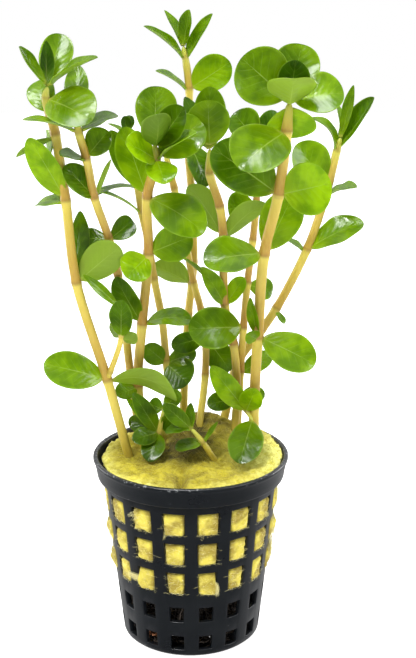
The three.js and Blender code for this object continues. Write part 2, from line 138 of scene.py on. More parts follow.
# Mineral wool, spun fibre pressed into a plug: matt and felted, yellow from its binder, browned by wet
# round the stems and brighter where it is pulled up loose, with painted highlights on its raised strands
# and painted shade in its pits. The attributes "soaked" and "fluffed" say where it is wet and loose, and
# "aged" is 1 in the middle of each of the pot's holes and falls to 0 at their edges, where the wool gets
# painted shade.
def makeWool():
    material, add, place = newMaterial("mineral_wool")
    clouds = add("noise", place, patternScale(4.5), 2, 0.5)
    felt = add("noise", place, patternScale(0.6), 3, 0.6, 0.6)
    strands = add("noise", place, patternScale(1.2), 3, 0.55, 0.8)
    body = add("blend", add("step", clouds, 0.35, 0.65), "#998a18", "#c2b42c")
    # painted highlights on the raised strands, and painted shade low between them and in the felt's pits
    body = tinted(add, body, add("step", strands, 0.52, 0.72), 0.45, "#dcd25a")
    body = tinted(add, body, add("step", strands, 0.45, 0.28), 0.4, "#6e6014")
    body = tinted(add, body, add("step", felt, 0.42, 0.25), 0.35, "#6e6014")
    # the loose fluff is lighter on its raised strands: a painted highlight
    fluff = add("blend", add("step", strands, 0.3, 0.6), "#e4dc58", "#fffc92")
    body = add("blend", add("attribute", attribute_name="fluffed"), body, fluff)
    # in a hole: beige or lemon in soft clouds, with painted shade at its edges, where the bars' edges shade
    # the wool
    inHole = add("blend", add("step", clouds, 0.38, 0.62), "#96842f", "#cfc04a")
    # a painted highlight on the raised strands in a hole
    inHole = tinted(add, inHole, add("step", strands, 0.5, 0.75), 0.3, "#e6db78")
    shadedHoleEdge = add("step", add("attribute", attribute_name="aged"), 0.5, 0.0)
    inHole = tinted(add, inHole, shadedHoleEdge, 0.65, "#6e6120")
    belowRim = add("step", add("z", place), 46 * metresPerMm, 45 * metresPerMm)
    body = add("blend", belowRim, body, inHole)
    stained = add("blend", strands, "#1e1f03", "#655b1a")
    amount = add("multiply", add("attribute", attribute_name="soaked"), add("add", 0.55, clouds))
    relief = add("add", add("multiply", felt, 0.4), add("multiply", strands, 0.9))
    add("surface", add("skin", inputs={
        "Base Color": add("blend", add("minimum", amount, 1.0), body, stained),
        "Roughness": 0.95, "IOR": 1.5, "Sheen Weight": 0.05, "Sheen Roughness": 0.6,
        "Normal": add("bump", relief, 0.45, 0.5 * metresPerMm)}))
    return material


# Single mineral fibres, drawn from molten rock: glassy and pale, with a soft shine
def makeFibre():
    material, add, place = newMaterial("mineral_fibre")
    clouds = add("noise", place, patternScale(3), 3, 0.55)
    inHole = add("blend", clouds, "#dccf66", "#f2edc0")
    onTop = add("blend", clouds, "#b8aa28", "#e0d44e")
    aboveRim = add("step", add("z", place), 45.5 * metresPerMm, 46.5 * metresPerMm)
    body = add("blend", aboveRim, inHole, onTop)
    colour = tinted(add, body, add("attribute", attribute_name="soaked"), 0.8, "#7d6a30")
    add("surface", add("skin", inputs={"Base Color": colour, "Roughness": 0.45, "IOR": 1.52}))
    return material


# Live stem, a smooth green-grown stalk that ripens to straw yellow: waxy skin, pinkish brown at the
# foot of each stretch, with a dark scar at each joint and fine ribs along it. "blush", "scar" and
# "fresh" are its attributes.
def makeStem():
    material, add, place = newMaterial("waxy_stalk")
    # patterns are drawn out along the stem
    drawn = add("stretch", place, (1, 1, 0.12))
    ribs = add("noise", drawn, patternScale(0.35), 3, 0.55)
    clouds = add("noise", drawn, patternScale(2.2), 4, 0.55)
    straw = add("blend", clouds, "#b2a236", "#dccb62")
    tanned = add("blend", clouds, "#947026", "#b48e40")
    patchy = add("add", 0.6, add("multiply", ribs, 0.8))
    amount = add("multiply", add("attribute", attribute_name="blush"), patchy)
    body = add("blend", add("minimum", amount, 1.0), straw, tanned)
    body = tinted(add, body, add("attribute", attribute_name="fresh"), 0.85, "#b0b84a")
    add("surface", add("skin", inputs={
        "Base Color": tinted(add, body, add("attribute", attribute_name="scar"), 0.45, "#6f5226"),
        "Roughness": 0.38, "IOR": 1.42, "Subsurface Weight": 0.25,
        "Subsurface Radius": (0.6, 0.5, 0.15), "Subsurface Scale": 0.002,
        "Normal": add("bump", ribs, 0.25, 0.3 * metresPerMm)}))
    return material


# Live leaf with a waxed skin: glossy above, dull and paler below, and light shines through it.
# "tone" runs from a dark leaf at 0 to a bright one at 1: partly its own colour, young leaves being
# brighter, and partly painted shade on leaves deep in the plant and painted light on leaves that light
# shines through.
# "under" is 1 on the lower side.
# The leaf's map runs across it in x, with the midrib at 0.5, and along it in y.
def makeLeaf():
    material, add, place = newMaterial("waxed_leaf")
    tone, under = add("attribute", attribute_name="tone"), add("attribute", attribute_name="under")
    mapped = add("map", uv_map="blade")
    across, along = add("x", mapped), add("y", mapped)
    side = add("absolute", add("multiply", add("subtract", across, 0.5), 2.0))
    # Side veins leave the midrib slanting to the tip and curve on: whole numbers of
    # 7 * (along - 0.3 * side ** 0.8) lie on them
    bend = add("multiply", add("power", side, 0.8), 0.3)
    count = add("multiply", add("subtract", along, bend), 7.0)
    fromVein = add("pingpong", count, 0.5)
    sideVeins = add("multiply", add("step", fromVein, 0.09, 0.0), add("step", side, 0.95, 0.3))
    taper = add("range", along, 0.0, 0.8, 0.07, 0.008)
    fromMidrib = add("minimum", add("divide", side, taper), 1.0)
    midrib = add("step", add("subtract", 1.0, fromMidrib), 0.0, 0.8)
    clouds = add("noise", place, patternScale(4.5), 3, 0.55)
    cells = add("noise", place, patternScale(0.9), 3, 0.6)
    # dark to bright by tone, which holds painted shade and light as well as each leaf's own colour
    body = add("blend", tone, "#213f00", "#7ca800")
    lively = add("blend", tone, "#3c6400", "#acd408")
    body = add("blend", add("step", clouds, 0.35, 0.65), body, lively)
    # painted light: towards its foot the blade is made yellower, as if light shone through it there
    nearFoot = add("blend", tone, "#7ba000", "#b2cc18")
    body = tinted(add, body, add("step", along, 0.5, 0.0), 0.5, nearFoot)
    body = tinted(add, body, under, 0.85, add("blend", tone, "#6b8a1e", "#b0ca46"))
    body = tinted(add, body, sideVeins, 0.15, "#b4cc52")
    # painted light: a pale yellow glow along the leaf's edges
    body = tinted(add, body, add("step", side, 0.86, 1.0), 0.4, "#a8cc38")
    body = add("blend", add("step", along, 0.09, 0.0), body, "#b5b649")
    colour = tinted(add, body, midrib, 0.5, "#b9cf5c")
    # the blade swells between its side veins
    swell = add("multiply", add("step", fromVein, 0.0, 0.5), add("step", side, 1.0, 0.4))
    relief = add("add", add("multiply", swell, 0.22), add("multiply", cells, 0.35))
    bumps = add("bump", relief, 0.4, 0.5 * metresPerMm)
    skin = add("skin", inputs={
        "Base Color": colour, "Roughness": add("range", under, 0.0, 1.0, 0.21, 0.5), "IOR": 1.42,
        "Specular IOR Level": 0.4, "Coat Weight": 0.55, "Coat Roughness": 0.12, "Normal": bumps})
    through = add("translucent", add("blend", 0.5, colour, "#a6cc00"), bumps)
    add("surface", add("bothShaders", 0.4, skin, through))
    return material


# Living root in the pot's empty foot: brown, matt and hair-thin. "rusty" is 1 on the young ones.
def makeRoot():
    material, add, place = newMaterial("brown_root")
    old = add("blend", add("noise", place, patternScale(3), 3, 0.55), "#1d1b19", "#564a3e")
    colour = add("blend", add("attribute", attribute_name="rusty"), old, "#9a6440")
    add("surface", add("skin", inputs={"Base Color": colour, "Roughness": 0.7}))
    return material


plastic, wool, fibre = makePlastic(), makeWool(), makeFibre()
stemSkin, leafSkin, rootSkin = makeStem(), makeLeaf(), makeRoot()
print("materials made")


# A mesh object from points in mm and its four- and three-cornered faces
def makePiece(name, points, quads, triangles, materials, slot=None, node=None):
    mesh = bpy.data.meshes.new(name)
    faces = np.asarray(quads, int).reshape(-1, 4).tolist()
    faces += np.asarray(triangles, int).reshape(-1, 3).tolist()
    mesh.from_pydata((np.asarray(points) * metresPerMm).tolist(), [], faces)
    mesh.polygons.foreach_set("use_smooth", np.ones(len(faces), bool))
    for material in materials:
        mesh.materials.append(material)
    piece = bpy.data.objects.new(name, mesh)
    bpy.context.scene.collection.objects.link(piece)
    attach(piece, "root")
    if node:
        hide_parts(node)
    return piece


def giveAttributes(piece, **shares):
    for name, share in shares.items():
        attribute = piece.data.attributes.new(name, "FLOAT", "POINT")
        attribute.data.foreach_set("value", np.asarray(share, float).ravel())


# The numbers of a grid of points that closes on itself along its rows, those of each point's
# neighbour there, and the four-cornered faces from each row to the next
def gridFaces(rows, columns, first=0):
    here = first + np.arange(rows * columns).reshape(rows, columns)
    aside = np.roll(here, -1, axis=1)
    return here, aside, np.stack([here[:-1], aside[:-1], aside[1:], here[1:]], axis=-1)


def evenTurns(count):
    return np.arange(count) * 2 * math.pi / count


# Rings of so many sides round a line, or round each of many. Where the line runs along towards, a
# ring would have no plane. thick has the radius for each point and side.
def ringsRound(line, thick, towards, sides):
    ahead = unit(np.gradient(line, axis=-2))[..., None, :]
    across = unit(np.cross(ahead, np.array(towards)))
    turn = evenTurns(sides)[:, None]
    ring = across * np.cos(turn) + np.cross(ahead, across) * np.sin(turn)
    return line[..., None, :] + thick[..., None] * ring


# A closed skin: rings of points, each joined to the next, drawn together to a point at both ends.
# Faces are turned outwards by the sign of the volume, a sum of a . (b x c) over the triangles.
def closedSkin(start, rings, end):
    rows, columns = rings.shape[:2]
    points = np.vstack([start, rings.reshape(-1, 3), end])
    here, aside, quads = gridFaces(rows, columns, 1)
    quads = quads.reshape(-1, 4)
    top = np.stack([np.zeros(columns, int), aside[0], here[0]], axis=-1)
    bottom = np.stack([np.full(columns, len(points) - 1), here[-1], aside[-1]], axis=-1)
    triangles = np.vstack([top, bottom])
    a, b, c = np.vstack([quads[:, [0, 1, 2]], quads[:, [0, 2, 3]], triangles]).T
    if np.einsum("ij,ij->", points[a], np.cross(points[b], points[c])) < 0:
        quads, triangles = quads[:, ::-1], triangles[:, ::-1]
    return points, quads, triangles


# Several skins as one set of points and faces
def gather(skins):
    offset, points, quads, triangles = 0, [], [], []
    for skinPoints, skinQuads, skinTriangles in skins:
        points.append(skinPoints)
        quads.append(skinQuads + offset)
        triangles.append(skinTriangles + offset)
        offset += len(skinPoints)
    return np.vstack(points), np.vstack(quads), np.vstack(triangles)


def unit(vectors):
    return vectors / np.maximum(np.linalg.norm(vectors, axis=-1, keepdims=True), 1e-9)


# A bell curve: 1 where away is 0, and 1 / e at wide
def bell(away, wide):
    return np.exp(-(away / wide) ** 2)


# Uneven height in -1..1 at points: a mean of sines along random directions, each octave half the
# size and 0.6 of the height of the one before
def lumps(points, size, seed, octaves=3):
    random = np.random.default_rng(seed)
    total, reach = 0, 0
    for octave in range(octaves):
        ways = unit(random.normal(size=(9, 3))) * (2 * math.pi / size) * 2 ** octave
        phases = random.uniform(0, 2 * math.pi, 9)
        total = total + 0.6 ** octave * np.sin(points @ ways.T + phases).sum(axis=-1) / 4
        reach += 0.6 ** octave
    return total / reach


# The same in mm: pattern holds the height of the lumps, their size and their seed
def uneven(points, pattern):
    height, size, seed = pattern
    return height * lumps(points, size, seed)


pot = {
    "wall": 1.2,
    "floor": 1.4,
    "footRadius": 18.5,
    "flare": 0.111,  # growth of the radius for each mm of height
    "chamfer": 0.6,
    "columns": 16,
    # each row of holes: height of its middle, width and height
    "rows": np.array([(4.1, 3.5, 4.2), (12.7, 3.7, 4.4), (22.2, 4.8, 6.2), (30.8, 5.3, 6.2),
                      (39.4, 5.8, 6.2)]),
    "basketTop": 46.0,
    "barLines": 3,
    "holeLines": 3,
    # rim section as (radius, height), from its inner foot round the outside and back down the inside
    "rim": [(22.9, 45.0), (24.6, 44.95), (24.88, 45.02), (24.97, 45.25), (25.25, 47.0), (25.62, 48.9),
            (25.78, 49.35), (26.0, 49.75), (26.0, 50.2), (25.85, 50.45), (25.6, 50.5), (25.1, 50.5),
            (24.88, 50.4), (24.8, 50.1), (24.5, 48.5), (23.9, 46.6), (22.7, 46.2), (22.5, 45.6)],
    "rimSteps": 144,
    "rimSharp": 60,  # degrees at which an edge of the rim stays sharp
    "slots": 6,
    "slotWidth": 2.6,
    "floorLines": [1.0, 4.0, 7.0, 9.8, 12.6, 15.5, 17.2],  # radii: a slot runs from the third to the sixth
    "edge": 0.16,
    "edgeSharp": 50,  # degrees from which an edge of the basket is rounded
}
pitch = 2 * math.pi / pot["columns"]


# The outside of the wall, whose radius grows evenly with height
def wallRadius(height):
    return pot["footRadius"] + pot["flare"] * height


# Places on a turned surface: angle 0 is at the front, -Y, and angles grow towards +X
def turned(radius, angle, height):
    return np.stack([radius * np.sin(angle), -radius * np.cos(angle), height + 0 * angle], axis=-1)


# Half the angle of a hole at each height, straight between the rows' own widths
def holeHalfAngle(height):
    middles, widths, _ = pot["rows"].T
    return np.interp(height, middles, widths) / 2 / wallRadius(height)


# A punched sheet: a grid round the pot whose lines follow the holes' edges, so that a hole is a block
# of faces left out. The angles local repeat count times, and a hole spans the first few of them in
# each band, from one ring to the next, where holed is true.
def punchedSheet(radius, height, local, count, holed, holeLines):
    middles = (np.arange(count) + 0.5) * 2 * math.pi / count
    angle = (middles[None, :, None] + local[:, None, :]).reshape(len(local), -1)
    points = turned(radius[:, None] + 0 * angle, angle, height)
    inAngle = np.arange(angle.shape[1]) % local.shape[1] < holeLines
    return points.reshape(-1, 3), gridFaces(*angle.shape)[2][~(holed[:, None] & inAngle[None, :])]


# The basket's radius grows evenly with height, and its foot is drawn in
def basketWall():
    heights = [0.0, pot["chamfer"]]
    for middle, _, tall in pot["rows"]:
        heights += [middle - tall / 2, middle - tall / 6, middle + tall / 6, middle + tall / 2]
    heights = np.array(heights + [pot["basketTop"]])
    radius = wallRadius(heights)
    radius[0] = pot["footRadius"] - pot["chamfer"]
    half = holeHalfAngle(heights)[:, None]
    across = np.linspace(-1, 1, pot["holeLines"] + 1)
    bar = np.linspace(0, 1, pot["barLines"] + 2)[1:-1]
    local = np.hstack([half * across, half + (pitch - 2 * half) * bar])
    band = np.arange(len(heights) - 1)
    holed = (band % 4 != 1) & (band >= 2) & (band < len(heights) - 2)
    return punchedSheet(radius, heights[:, None], local, pot["columns"], holed, pot["holeLines"])


# The floor's slots lie between lines that keep half a slot's width from its middle
def basketFloor():
    radii = np.array(pot["floorLines"])
    half = np.arcsin(pot["slotWidth"] / 2 / np.maximum(radii, radii[2]))[:, None]
    step = 2 * math.pi / pot["slots"]
    local = np.hstack([-half, half, half + (step - 2 * half) * np.array([0.25, 0.5, 0.75])])
    band = np.arange(len(radii) - 1)
    holed = (band >= 2) & (band < 5)
    points, quads = punchedSheet(radii, pot["floor"], local, pot["slots"], holed, 1)
    middle = len(points)
    inner = np.arange(middle // len(radii))
    hub = np.stack([np.full(len(inner), middle), inner, np.roll(inner, -1)], axis=-1)
    return np.vstack([points, [[0.0, 0.0, pot["floor"]]]]), quads[..., [0, 3, 2, 1]], hub


# A closed section of (radius, height) carried once round the upright axis
def carriedRound(section, steps):
    section = np.array(section)
    angle = evenTurns(steps)[:, None] + 0 * section[None, :, 0]
    points = turned(section[None, :, 0], angle, section[None, :, 1])
    here = np.arange(steps * len(section)).reshape(steps, -1)
    aside, up = np.roll(here, -1, axis=0), np.roll(here, -1, axis=1)
    quads = np.stack([here, aside, np.roll(aside, -1, axis=1), up], axis=-1).reshape(-1, 4)
    return points.reshape(-1, 3), quads


# The basket's wall and floor are one sheet made thick and then rounded. The rim is a closed band.
def makePot():
    wallPoints, wallQuads = basketWall()
    floorPoints, floorQuads, hub = basketFloor()
    offset = len(wallPoints)
    basket = makePiece("pot_basket", np.vstack([wallPoints, floorPoints]),
                       np.vstack([wallQuads, floorQuads + offset]), hub + offset,
                       [plastic], "net_pot", "net_pot")
    wall = basket.modifiers.new("wall", "SOLIDIFY")
    wall.thickness, wall.offset, wall.use_even_offset = pot["wall"] * metresPerMm, -1, True
    rounding = basket.modifiers.new("rounding", "BEVEL")
    rounding.width, rounding.segments = pot["edge"] * metresPerMm, 2
    rounding.limit_method, rounding.angle_limit = "ANGLE", math.radians(pot["edgeSharp"])
    rimPoints, rimQuads = carriedRound(pot["rim"], pot["rimSteps"])
    rim = makePiece("pot_rim", rimPoints, rimQuads, [], [plastic], "net_pot")
    rim.data.set_sharp_from_angle(angle=math.radians(pot["rimSharp"]))


makePot()
print("pot made")

rockWool = {
    "foot": 17.6,
    "edge": 49.2,
    "gap": 0.35,
    "hump": {"x": 3, "y": 8, "wide": 16, "deep": 9.5, "height": 9.3},
    "cleft": {"x": -2.5, "width": 1.3, "depth": 1.9, "reach": -10, "steepness": 1.2},
    # unevenness: height of the lumps, their size and their seed
    "topLumps": ((0.5, 5.5, 3), (0.25, 1.6, 4)),
    "puffs": (0.6, 3.4, 12),
    "fineSideLumps": (0.22, 1.5, 6),
    "sideLumps": (0.18, 4.5, 7),
    "rimLumps": (0.4, 3.2, 8),
    "footLumps": (0.35, 3, 5),
    "wetLumps": (0.5, 4, 9),
    "looseLumps": (0.4, 2.2, 14),
    "dent": (0.7, 2.4),  # how deep the wool is pressed in round a stem, and how wide
    "press": 1.5,  # how far the wool stands out into a hole
    # the mm in which it comes to stand out from each edge of a hole, and its share at the edge itself
    "besideEdge": (0.9, 0.3),
    "belowTop": (1.3, 0.2),
    "aboveSill": (0.8, 0.75),  # the wool sags onto the sill
    "tuftWidth": 2.3,
    "turnSteps": 320,
    "sideRows": 76,
    "sideTop": 47.6,
    # the shoulder as (radius, drop below the top), and the radii of the top within it
    "shoulder": [(22.35, 1.3), (22.75, 0.75), (22.8, 0.4), (22.6, 0.15), (22.2, 0.03)],
    "topRadii": np.linspace(21.8, 0.35, 56),
    "footShares": np.linspace(0.6, 0.93, 6),
    "topHeight": 46,  # wool above this is at the top, and not in a hole
    # The plug leans on the rim at the front and at the right, and leaves a gap behind: how far, and
    # for the right at which angle and how wide. It grows from leanStart on, over leanRun.
    "frontLean": 1.3,
    "backGap": 0.2,
    "rightLean": (0.85, 1.5, 0.45),
    "leanStart": 16,
    "leanRun": 6,
    # where the top is pulled up loose: x, y, how wide and how deep, and how much of it is at the edge
    "loose": (20, -3, 7, 9),
    "looseEdge": (0.5, 23.5, 2.6),  # how much, at which radius and how wide
    # tufts pulled out of a hole: column from the front, row height, mm out, and shift round the pot
    "tufts": [(3, 31.6, 1.2, 0.2), (3, 22.6, 0.9, 0), (2, 31.5, 0.5, 0.3), (-4, 31.2, 0.9, 0),
              (-4, 22.4, 1.1, 0), (-3, 31, 0.4, 0), (0, 20.2, 1.3, 2), (-2, 21.3, 1.5, -2.6),
              (3, 38.4, 0.4, 0), (5, 30, 1, 0), (7, 24, 0.9, 0), (-6, 39, 0.8, 0)],
    # mounds on the top: x, y, how wide and how high
    "mounds": [(20, -2.5, 4.8, 2), (-19.5, -3, 4, 0.9), (4.5, -17.5, 4.5, 0.9), (-9, -16, 4.5, 0.6)],
    # wet places on the top: how much, x, y, how wide and how deep. They lie behind the front edge,
    # round the hump's foot and at the cleft.
    "wet": [(1, -2, -2.5, 11, 4.2), (0.75, 3, 5, 9, 5), (0.32, -1.5, -17, 5, 6)],
}


# Height of the wool's top: the edge, a broad hump, a cleft at the front, lumps of two sizes, and
# puffs, which meet in sharp valleys as minus the size of an uneven height does
def woolTop(x, y, feet):
    hump, cleft = rockWool["hump"], rockWool["cleft"]
    rise = hump["height"] * bell(x - hump["x"], hump["wide"]) * bell(y - hump["y"], hump["deep"])
    valley = cleft["depth"] * bell(x - cleft["x"], cleft["width"])
    valley = valley / (1 + np.exp((y - cleft["reach"]) * cleft["steepness"]))
    flat = np.stack([x, y, 0 * x], axis=-1)
    rough = sum(uneven(flat, pattern) for pattern in rockWool["topLumps"])
    rough = rough - np.abs(uneven(flat, rockWool["puffs"])) + 0.2
    away = np.hypot(x[..., None] - feet[:, 0], y[..., None] - feet[:, 1])
    depth, wide = rockWool["dent"]
    dents = depth * bell(away, wide).max(axis=-1)
    mounds = sum(high * bell(np.hypot(x - mx, y - my), wide) for mx, my, wide, high in rockWool["mounds"])
    return rockWool["edge"] + rise + mounds - valley + rough - dents


# Angle from the middle of the nearest column of holes
def fromColumn(angle):
    return (angle / pitch - 0.5 - np.round(angle / pitch - 0.5)) * pitch


# How far the wool has come to stand out at a distance in from a hole's edge, from 0 to 1
def fromEdge(inside, edge):
    run, start = rockWool[edge]
    return np.clip(inside / run + start, 0, 1)


# How far the wool stands out: on a bar 0, and well inside a hole all of press. It is the product of a
# smooth box in angle and one in height. A tuft adds a round bump.
def standOut(angle, height):
    inside = (holeHalfAngle(height) - np.abs(fromColumn(angle))) * wallRadius(height)
    inAngle, inHeight = fromEdge(inside, "besideEdge"), 0 * height
    for middle, _, tall in pot["rows"]:
        above = fromEdge(middle + tall / 2 - height, "belowTop")
        below = fromEdge(height - middle + tall / 2, "aboveSill")
        inHeight = np.maximum(inHeight, above * below)
    bulge = rockWool["press"] * (inAngle * inHeight) ** 0.7
    wide = rockWool["tuftWidth"]
    for column, middle, out, shift in rockWool["tufts"]:
        turn = np.angle(np.exp(1j * (angle - (column + 0.5) * pitch))) * wallRadius(height) - shift
        reach = out * bell(turn, wide) * bell(height - middle, wide)
        overBar = 0.6 if abs(shift) > 1 else 0
        bulge = bulge + reach * np.clip(np.sqrt(inAngle * inHeight) * 3 + overBar, 0, 1)
    return bulge


# 1 in the middle of a hole, falling to 0 at its edges and away from the holes
def holeMiddle(angle, height):
    share = 0 * height
    for middle, width, tall in pot["rows"]:
        across = np.abs(fromColumn(angle)) * wallRadius(height) / (width / 2)
        upwards = 2 * (height - middle) / tall
        inHole = np.clip(1.1 - across ** 2, 0, 1) * np.clip(1.1 - upwards ** 2, 0, 1)
        share = np.maximum(share, inHole)
    return share


# Where wet has browned the wool
def soakedShare(points):
    x, y, z = points.T
    wet = 0
    for share, wx, wy, wide, deep in rockWool["wet"]:
        wet = wet + share * bell(x - wx, wide) * bell(y - wy, deep)
    wet = wet * (1 + uneven(points, rockWool["wetLumps"]))
    return np.clip(wet, 0, 1) * (z > rockWool["topHeight"])


# Where the wool's top is pulled up loose: the right mound, and less of it along the edge
def fluffedShare(points):
    x, y, z = points.T
    looseX, looseY, wide, deep = rockWool["loose"]
    share, radius, width = rockWool["looseEdge"]
    right = bell(x - looseX, wide) * bell(y - looseY, deep)
    edge = share * bell(np.hypot(x, y) - radius, width) * np.clip(0.35 + np.abs(x) / 14, 0, 1)
    loose = (right + edge) * (1 + uneven(points, rockWool["looseLumps"]))
    return np.clip(loose, 0, 1) * (z > rockWool["topHeight"])


# The plug is a closed skin of rings. Its side is the inside of the wall plus standOut and lumps, drawn
# in by the root of the height at its foot. Over it come the shoulder and the top, whose radius gains a
# lean: a power of (1 + cos angle) / 2 for the front, a bell curve in angle for the right, and lumps.
def makeWoolPlug(feet):
    turns = evenTurns(rockWool["turnSteps"])[None, :]
    heights = np.linspace(rockWool["foot"], rockWool["sideTop"], rockWool["sideRows"])[:, None]
    inner = wallRadius(heights) - pot["wall"] - rockWool["gap"]
    angle, level = turns + 0 * heights, heights + 0 * turns
    spots = turned(inner, angle, level)
    out = standOut(angle, level)
    rough = uneven(spots, rockWool["fineSideLumps"]) * np.clip(out, 0.15, 1.4)
    rough += uneven(spots, rockWool["sideLumps"]) * np.clip(out, 0, 1)
    lowEdge = np.clip((heights - rockWool["foot"]) / 1.2, 0, 1) ** 0.5
    side = turned((inner + out + rough) * (0.94 + 0.06 * lowEdge), angle, level)

    shoulder, drops = np.array(rockWool["shoulder"]).T
    radius = np.concatenate([shoulder, rockWool["topRadii"]])[:, None]
    angle = turns + 0 * radius
    lean = rockWool["frontLean"] * ((1 + np.cos(angle)) / 2) ** 0.45 - rockWool["backGap"]
    lean += uneven(turned(22, angle, 0 * angle), rockWool["rimLumps"])
    much, middle, wide = rockWool["rightLean"]
    lean += much * bell(angle - middle, wide)
    radius = radius + lean * np.clip((radius - rockWool["leanStart"]) / rockWool["leanRun"], 0, 1)
    x, y = radius * np.sin(angle), -radius * np.cos(angle)
    drop = np.concatenate([drops, 0 * rockWool["topRadii"]])[:, None]
    top = np.stack([x, y, woolTop(x, y, feet) - drop], axis=-1)

    radius = rockWool["footShares"][:, None] * inner[0]
    flat = turned(radius, turns + 0 * radius, rockWool["foot"] + 0 * radius)
    flat[..., 2] += uneven(flat, rockWool["footLumps"]) - 0.3
    start = np.array([[0, 0, rockWool["foot"]]])
    end = np.array([[0, 0, woolTop(np.zeros(1), np.zeros(1), feet)[0]]])
    points, quads, triangles = closedSkin(start, np.vstack([flat, side, top]), end)
    plug = makePiece("wool_plug", points, quads, triangles, [wool], "rock_wool", "rock_wool")
    # 1 in the middle of a hole and 0 at its edges, where the wool's material paints shade
    aged = holeMiddle(np.arctan2(points[:, 0], -points[:, 1]), points[:, 2])
    giveAttributes(plug, soaked=soakedShare(points), fluffed=fluffedShare(points), aged=aged)


# Fibres are bent hairs: points on a line that curves as t (1 - t), with three-sided rings that thin
# to both ends. start, way and bend are arrays with one row for each fibre.
def hairSkins(start, way, bend, thickness):
    shares = np.array([0.25, 0.9, 1, 0.9, 0.25])
    rows = len(shares)
    t = np.linspace(0, 1, rows)[None, :, None]
    line = start[:, None, :] + way[:, None, :] * t + bend[:, None, :] * 4 * t * (1 - t)
    rings = ringsRound(line, thickness[:, None, None] * shares[None, :, None], (0.3, 0.2, 1.0), 3)
    here = np.arange(len(start) * rows * 3).reshape(len(start), rows, 3)
    aside = np.roll(here, -1, axis=2)
    quads = np.stack([here[:, :-1], aside[:, :-1], aside[:, 1:], here[:, 1:]], axis=-1).reshape(-1, 4)
    caps = np.vstack([here[:, 0, ::-1], here[:, -1]])
    return rings.reshape(-1, 3), quads, caps


fibres = {
    # how many of each kind, and the least and the greatest half thickness
    "top": (2000, (0.02, 0.04)),
    "edging": (500, (0.015, 0.035)),
    "fringe": (1500, (0.012, 0.024)),
    "fuzz": (2600, (0.015, 0.03)),
    "wispThickness": (0.014, 0.034),
    "topRadius": 22.2,
    "topLength": (0.8, 2.6),
    "edgingSide": (1.1, 0.9),  # its middle round the pot, from the front to the right, and its spread
    "edgingRadius": (21.8, 23.4),
    "edgingReach": 24.3,
    "fringeLow": 0.85,  # the share of it that hangs over a hole's sill
    # wisps of fibre drawn out of a hole: column, place across and height, run round the pot, drop, mm
    # out, how many fibres, and how far they spread
    "wisps": [(-2, -1.6, 21.8, -4.4, -0.3, 1.2, 170, 0.2), (0, 2.0, 22.2, 0.5, 3.6, 1.2, 200, 0.16),
              (-1, -2.3, 36.8, -0.3, 1.8, 0.5, 9, 0.12), (0, -2.0, 36.7, 0.4, 0.8, 0.4, 12, 0.3),
              (-2, -2.0, 40.5, -1.0, 0.6, 0.8, 60, 0.4), (2, 1.2, 37.6, 1.0, 1.2, 0.6, 40, 0.3),
              (3, 0.2, 33.5, 0.3, 5.5, 1.3, 220, 0.5), (3, 0.3, 26.5, 0.3, 5.0, 1.4, 220, 0.5),
              (-4, 0.0, 33.0, -0.3, 4.5, 1.0, 150, 0.5), (-4, 0.0, 24.5, -0.3, 4.0, 1.1, 150, 0.5),
              (3, 0.0, 41.5, 0.2, 4.0, 0.8, 120, 0.5)],
}


